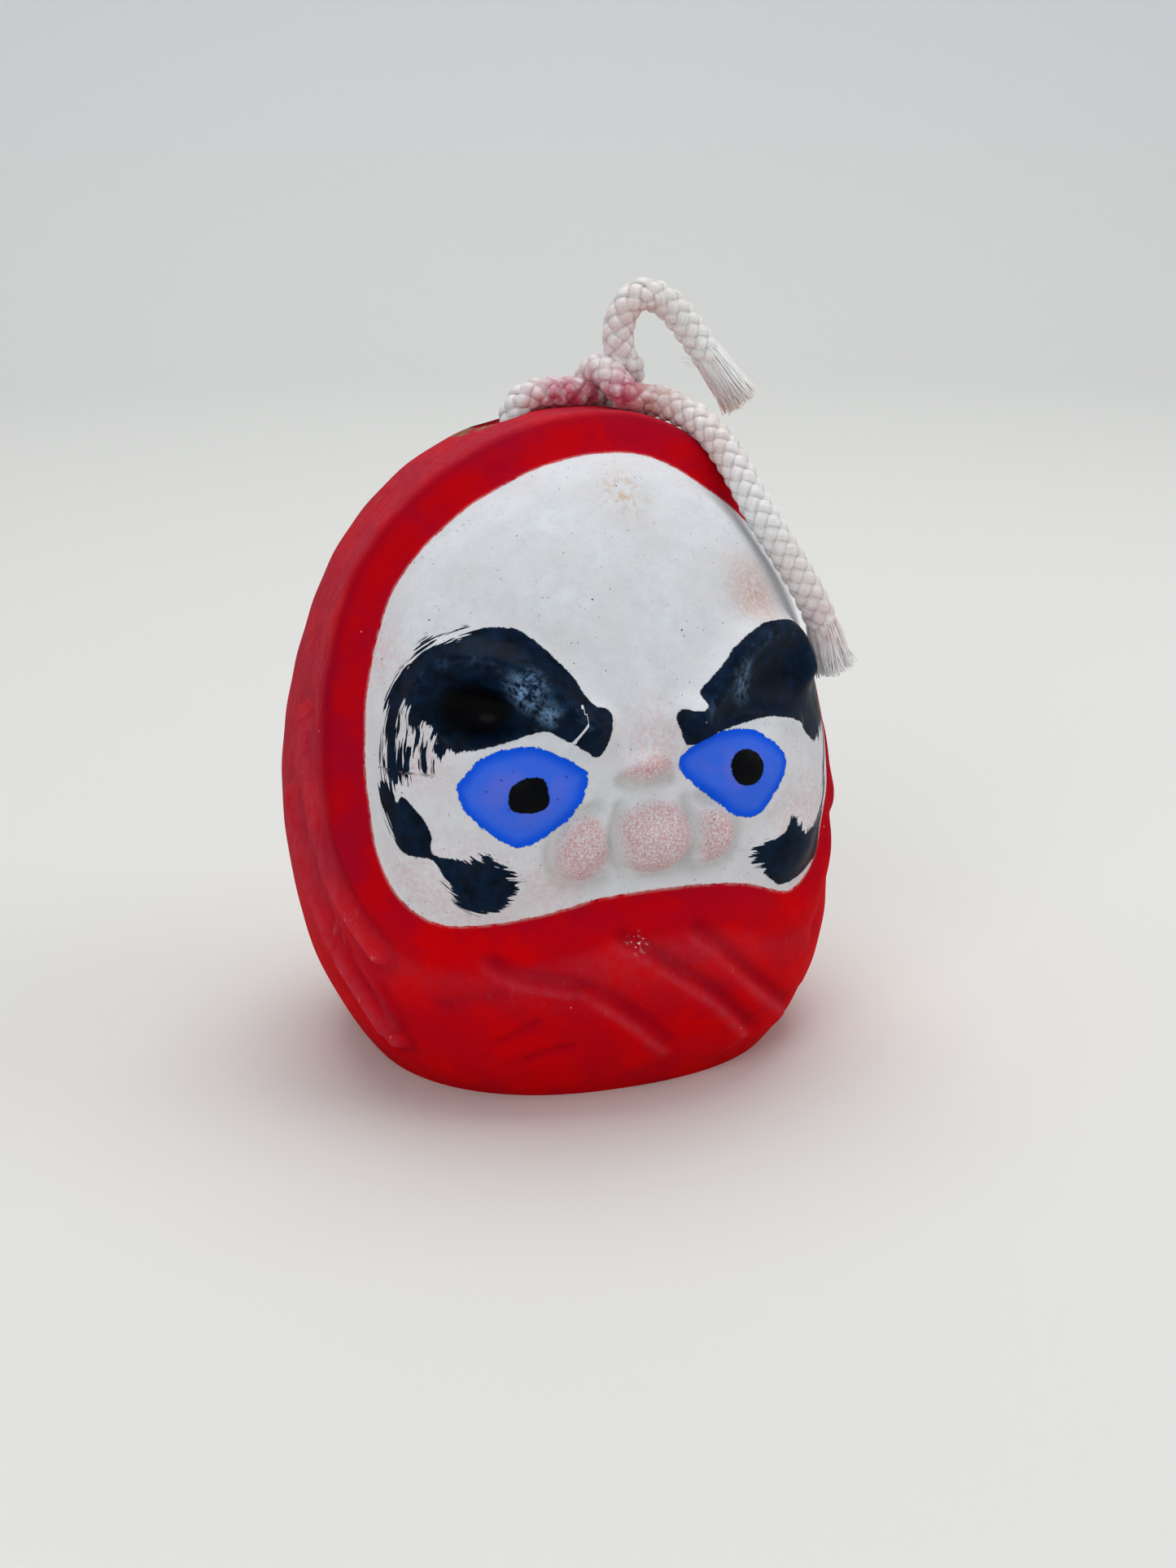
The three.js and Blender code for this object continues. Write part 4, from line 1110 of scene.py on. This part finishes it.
def clay_material():
    g = Paint()
    black, bare = black_mask(g), bare_mask(g)
    eye = g.edge(g.plus(g.eyes, g.centred(g.grain, 0.16), g.centred(g.noise(1.6), 0.2)))
    pupil = g.edge(g.plus(g.pupils, g.centred(g.grain, 0.16)))
    colour = g.mix(eye, face_colour(g), blue_paint(g))
    colour = g.mix(black, colour, black_paint(g))
    colour = g.mix(pupil, colour, BLACK["pupil"])
    colour = g.mix(bare, colour, bare_clay(g))
    ink = g.times(g.most(black, pupil), g.minus(1.0, bare))
    matte = g.times(g.ramp(g.mottle, 0.2, 0.8, 0.74, 0.9), g.minus(1.0, ink))
    satin = g.times(ink, g.ramp(g.mottle, 0.3, 0.7, 0.34, 0.52))
    rough = g.minus(g.plus(matte, satin), g.times(pupil, 0.16))
    relief = g.plus(g.times(g.grain, 0.5), g.times(g.fine, 0.3), g.times(g.most(ink, eye), 0.9),
                    g.times(g.streaks, ink, 0.6), g.times(g.upright, 0.25))
    g.set(colour=colour, roughness=rough, specular=0.03, coat=g.times(ink, 0.05), coat_roughness=0.26,
          normal=g.bump(relief, 0.07))
    return g.material


def body_grid(angles):
    """Points and normals of the smooth outside, rows by columns, from the foot up."""
    last = foot_turn(HALF_WIDTH, FOOT_HALF_WIDTH)
    turns = np.concatenate([np.linspace(-last, 0, LOWER_ROWS, endpoint=False),
                            np.linspace(0, math.pi / 2, UPPER_ROWS, endpoint=False)])

    def at(turn, angle):
        z, share = profile(turn, HALF_WIDTH, FOOT_HALF_WIDTH, HEIGHT, 0)
        return leaned(on_plan(angle, share, z))

    turn, angle = np.meshgrid(turns, angles, indexing="ij")
    step = 1e-3
    rise = at(np.minimum(turn + step, math.pi / 2), angle) - at(turn - step, angle)
    normals = np.cross(at(turn, angle + step) - at(turn, angle - step), rise)
    normals /= np.linalg.norm(normals, axis=-1)[..., None]
    return at(turn, angle), normals


def softened(values, rows, columns):
    """Evens out steps as small as the grid, along its rows and its columns."""
    grid = values.reshape(rows, columns, -1)
    for axis in (0, 1):
        padded = np.pad(grid, [(1, 1) if axis == k else (0, 0) for k in range(3)], mode="edge")
        before, after = (np.take(padded, range(start, start + grid.shape[axis]), axis) for start in (0, 2))
        grid = (before + 2 * grid + after) / 4
    return grid.reshape(values.shape)


def moved_points(grid, normals, height):
    """The grid with its relief, left flat at the foot and at the seam."""
    rows, columns = grid.shape[:2]
    height = height.reshape(rows, columns, 1).copy()
    height[0] = 0
    moved = grid + normals * height
    moved[0, :, 2] = 0
    moved[:, [0, -1], 1] = 0
    return moved.reshape(-1, 3)


def half_faces(rows, columns):
    """The faces of a half: its outside, its crown and foot, and the flat seam."""
    count = rows * columns
    top, foot = count, count + 1
    last = count - columns
    faces = grid_faces(rows, columns)
    faces += [(last + k, last + k + 1, top) for k in range(columns - 1)]
    faces += [(foot, k + 1, k) for k in range(columns - 1)]
    faces.append((foot, *range(0, count, columns), top, *range(count - 1, 0, -columns)))
    return faces


def half_solid(name, angles, material):
    """One half of the body's outside as a closed solid, a tree of its points, and their paint."""
    grid, normals = body_grid(angles)
    rows, columns = grid.shape[:2]
    surface = Surface(grid.reshape(-1, 3), normals.reshape(-1, 3))
    paint = surface.paint()
    paint["wear_and_painted_light"] = softened(paint["wear_and_painted_light"], rows, columns)
    moved = moved_points(grid, normals, softened(surface.height, rows, columns))
    ends = [leaned(np.array([0.0, 0.0, HEIGHT])), [sway_at(0.0), 0.0, 0.0]]
    piece = new_mesh(name, np.vstack([moved, *ends]), half_faces(rows, columns), material)
    tree = KDTree(len(piece.data.vertices))
    for index, vertex in enumerate(piece.data.vertices):
        tree.insert(vertex.co, index)
    tree.balance()
    return piece, tree, {key: np.vstack([values, values[-1:], values[:1]]) for key, values in paint.items()}


def inner_egg():
    """The cavity, as points and faces."""
    rows, columns = 60, 96
    turns = np.concatenate([np.linspace(-math.pi / 2, 0, rows // 2, endpoint=False)[1:],
                            np.linspace(0, math.pi / 2, rows // 2, endpoint=False)])
    turn, angle = np.meshgrid(turns, ring_angles(columns), indexing="ij")
    z, share = profile(turn, HALF_WIDTH - WALL, 0, HEIGHT - WALL, WALL)
    grid = on_plan(angle, share, z, WALL)
    count = grid.shape[0] * columns
    points = np.vstack([grid.reshape(-1, 3), [0, 0, WALL], [0, 0, HEIGHT - WALL]])
    faces = grid_faces(grid.shape[0], columns, wrap=True)
    last = count - columns
    for k in range(columns):
        n = (k + 1) % columns
        faces.append((count, n, k))
        faces.append((last + k, last + n, count + 1))
    return points, faces


def cutter(points, faces):
    return new_mesh("cutter", points, faces, None)


def round_cutter(start, end, diameter):
    sides = 40
    return cutter(tube_points(np.linspace(start, end, 2), sides, diameter / 2), tube_faces(2, sides))


def slit_cutter():
    reach = 2 * HALF_WIDTH
    angle = math.radians(SLIT["end_angle"])
    outline = [(0, 0), (math.sin(angle), -math.cos(angle)), (1, 2), (-1, 2),
               (-math.sin(angle), -math.cos(angle))]
    points = [(x * reach, y * reach, SLIT["height"] + end * SLIT["width"] / 2)
              for end in (-1, 1) for x, y in outline]
    return cutter(points, tube_faces(2, len(outline)))


def slit_end_cutter(degrees):
    angle = math.radians(degrees)
    way = np.array([math.sin(angle), -math.cos(angle), 0])
    height = np.array([0, 0, SLIT["height"]])
    return round_cutter(way * HALF_WIDTH / 2 + height, way * HALF_WIDTH * 1.5 + height, SLIT["end_diameter"])


def cord_hole_cutter(x):
    low, high = (x, CORD_HOLES["y"], HEIGHT - 4 * WALL), (x, CORD_HOLES["y"], HEIGHT + WALL)
    return round_cutter(low, high, CORD_HOLES["diameter"])


def cut(piece, cutters):
    for tool in cutters:
        modifier = piece.modifiers.new("cut", "BOOLEAN")
        modifier.operation = "DIFFERENCE"
        modifier.solver = "MANIFOLD"
        modifier.object = tool
    graph = bpy.context.evaluated_depsgraph_get()
    mesh = bpy.data.meshes.new_from_object(piece.evaluated_get(graph))
    piece.modifiers.clear()
    piece.data = mesh
    for tool in cutters:
        bpy.data.objects.remove(tool)


def finish_half(piece, tree, paint):
    """Gives the cut mesh the paint's fields, and says where it is bare."""
    mesh = piece.data
    make_smooth(mesh, 40)
    found = [tree.find(vertex.co)[1:] for vertex in mesh.vertices]
    nearest = np.array([index for index, _ in found])
    inward = np.array([distance for _, distance in found]) / MM
    height = np.array([vertex.co.z for vertex in mesh.vertices]) / MM
    paint = {key: values[nearest].copy() for key, values in paint.items()}
    paint["wear_and_painted_light"][:, 2] = smoothstep(inward, 0.3, 0.8) * (height > 1.0)
    for key, values in paint.items():
        set_vectors(mesh, key, values)


def make_body():
    clay = clay_material()
    front_angles = np.linspace(-math.pi / 2, math.pi / 2, FRONT_COLUMNS + 1)
    back_angles = np.linspace(math.pi / 2, 3 * math.pi / 2, BACK_COLUMNS + 1)
    front, front_tree, front_paint = half_solid("front_shell", front_angles, clay)
    back, back_tree, back_paint = half_solid("back_shell", back_angles, clay)
    cut(front, [cutter(*inner_egg())])
    ends = [slit_end_cutter(side * SLIT["end_angle"]) for side in (1, -1)]
    holes = [cord_hole_cutter(x) for x in CORD_HOLES["x"]]
    cut(back, [cutter(*inner_egg()), slit_cutter(), *ends, *holes])
    finish_half(front, front_tree, front_paint)
    finish_half(back, back_tree, back_paint)
    for piece, node in ((front, "front_half"), (back, "back_half")):
        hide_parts(node)
        declare(piece, "bell")


make_body()

# ---- The pellet ----

PELLET_DENTS = 0.03  # as a share of its radius


def pellet_material():
    g = Graph("bare_clay")
    mottle = g.noise(0.7, 4.0, 0.6)
    grain = g.noise(4.0, 3.0, 0.6)
    colour = g.mix(g.ramp(mottle, 0.3, 0.7), (140, 96, 70), (176, 128, 98))
    colour = g.mix(g.specks(0.9, 0.1, 0.4), colour, (92, 62, 48))
    g.set(colour=colour, roughness=0.92, specular=0.25, normal=g.bump(g.plus(grain, mottle), 0.12))
    return g.material


def make_pellet():
    """A ball rolled by hand, flattened here and there, inside the CAD ball."""
    low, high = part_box("pellet")
    centre = (low + high) / 2
    radius = (high.x - low.x) / 2
    work = bmesh.new()
    bmesh.ops.create_icosphere(work, subdivisions=5, radius=1.0)
    for vertex in work.verts:
        way = vertex.co.normalized()
        dent = 0.5 + 0.25 * math.sin(3.1 * way.x + 1.3) * math.sin(2.7 * way.y)
        dent += 0.25 * math.sin(4.3 * way.z)
        vertex.co = centre + way * radius * (1 - PELLET_DENTS * dent)
    mesh = bpy.data.meshes.new("clay_pellet")
    work.to_mesh(mesh)
    work.free()
    mesh.materials.append(pellet_material())
    make_smooth(mesh, 40)
    piece = new_piece("clay_pellet", mesh)
    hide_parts("pellet")
    declare(piece, "rolling_pellet")


make_pellet()

# ---- Floor, backdrop and light ----

FLOOR = {"flat": 520, "curve": 260, "top": 440, "fade": 200}
# Each soft light: place, what it points at, size, power and colour.
LIGHTS = {
    "overhead": ((40, 110, 600), (0, 0, 20), (520, 460), 2.04, (1.0, 0.99, 0.98)),
    "front": ((-300, -350, 310), (0, 0, 30), (260, 260), 0.72, (0.97, 0.98, 1.0)),
    "right": ((420, -160, 260), (0, 0, 25), (300, 300), 0.5, (1.0, 0.98, 0.95)),
    "backdrop": ((200, 560, 480), (230, 650, 0), (600, 400), 0.6, (0.98, 0.99, 1.0)),
}
ROOM = {"colour": (0.92, 0.95, 1.0, 1.0), "strength": 0.38}


def stage_material():
    g = Graph("paper")
    # The paper is painted darker and bluer as it rises, as painted shade towards the top.
    rise = g.ramp(g.parts(g.position)[2], 0, FLOOR["fade"])
    g.set(colour=g.mix(rise, (223, 223, 219), (214, 218, 222)), roughness=0.7, specular=0.2)
    return g.material


def make_stage():
    """A round sheet of paper that lies under the object and curves up all round it."""
    sides, curve = 96, FLOOR["curve"]
    bend = [(FLOOR["flat"] + curve * math.sin(turn), curve * (1 - math.cos(turn)))
            for turn in np.linspace(0, math.pi / 2, 20)]
    rings = [(FLOOR["flat"] / 8, 0), *bend, (FLOOR["flat"] + curve, FLOOR["top"])]
    points = [(radius * math.cos(a), radius * math.sin(a), z)
              for radius, z in rings for a in ring_angles(sides)]
    faces = grid_faces(len(rings), sides, wrap=True)
    faces.append(tuple(range(sides)))
    new_mesh("paper", points, faces, stage_material())


def area_light(name, place, target, size, power, colour):
    data = bpy.data.lights.new(name, "AREA")
    data.shape = "RECTANGLE"
    data.size, data.size_y = [side * MM for side in size]
    data.energy = power
    data.color = colour
    light = bpy.data.objects.new(name, data)
    light.location = Vector(place) * MM
    way = Vector(target) - Vector(place)
    light.rotation_euler = way.to_track_quat("-Z", "Y").to_euler()
    bpy.context.scene.collection.objects.link(light)


def make_light():
    for name, light in LIGHTS.items():
        area_light(name, *light)
    world = bpy.data.worlds.new("room")
    world.use_nodes = True
    background = world.node_tree.nodes["Background"]
    background.inputs["Color"].default_value = ROOM["colour"]
    background.inputs["Strength"].default_value = ROOM["strength"]
    bpy.context.scene.world = world
    bpy.context.scene.view_settings.view_transform = "Standard"


make_stage()
make_light()
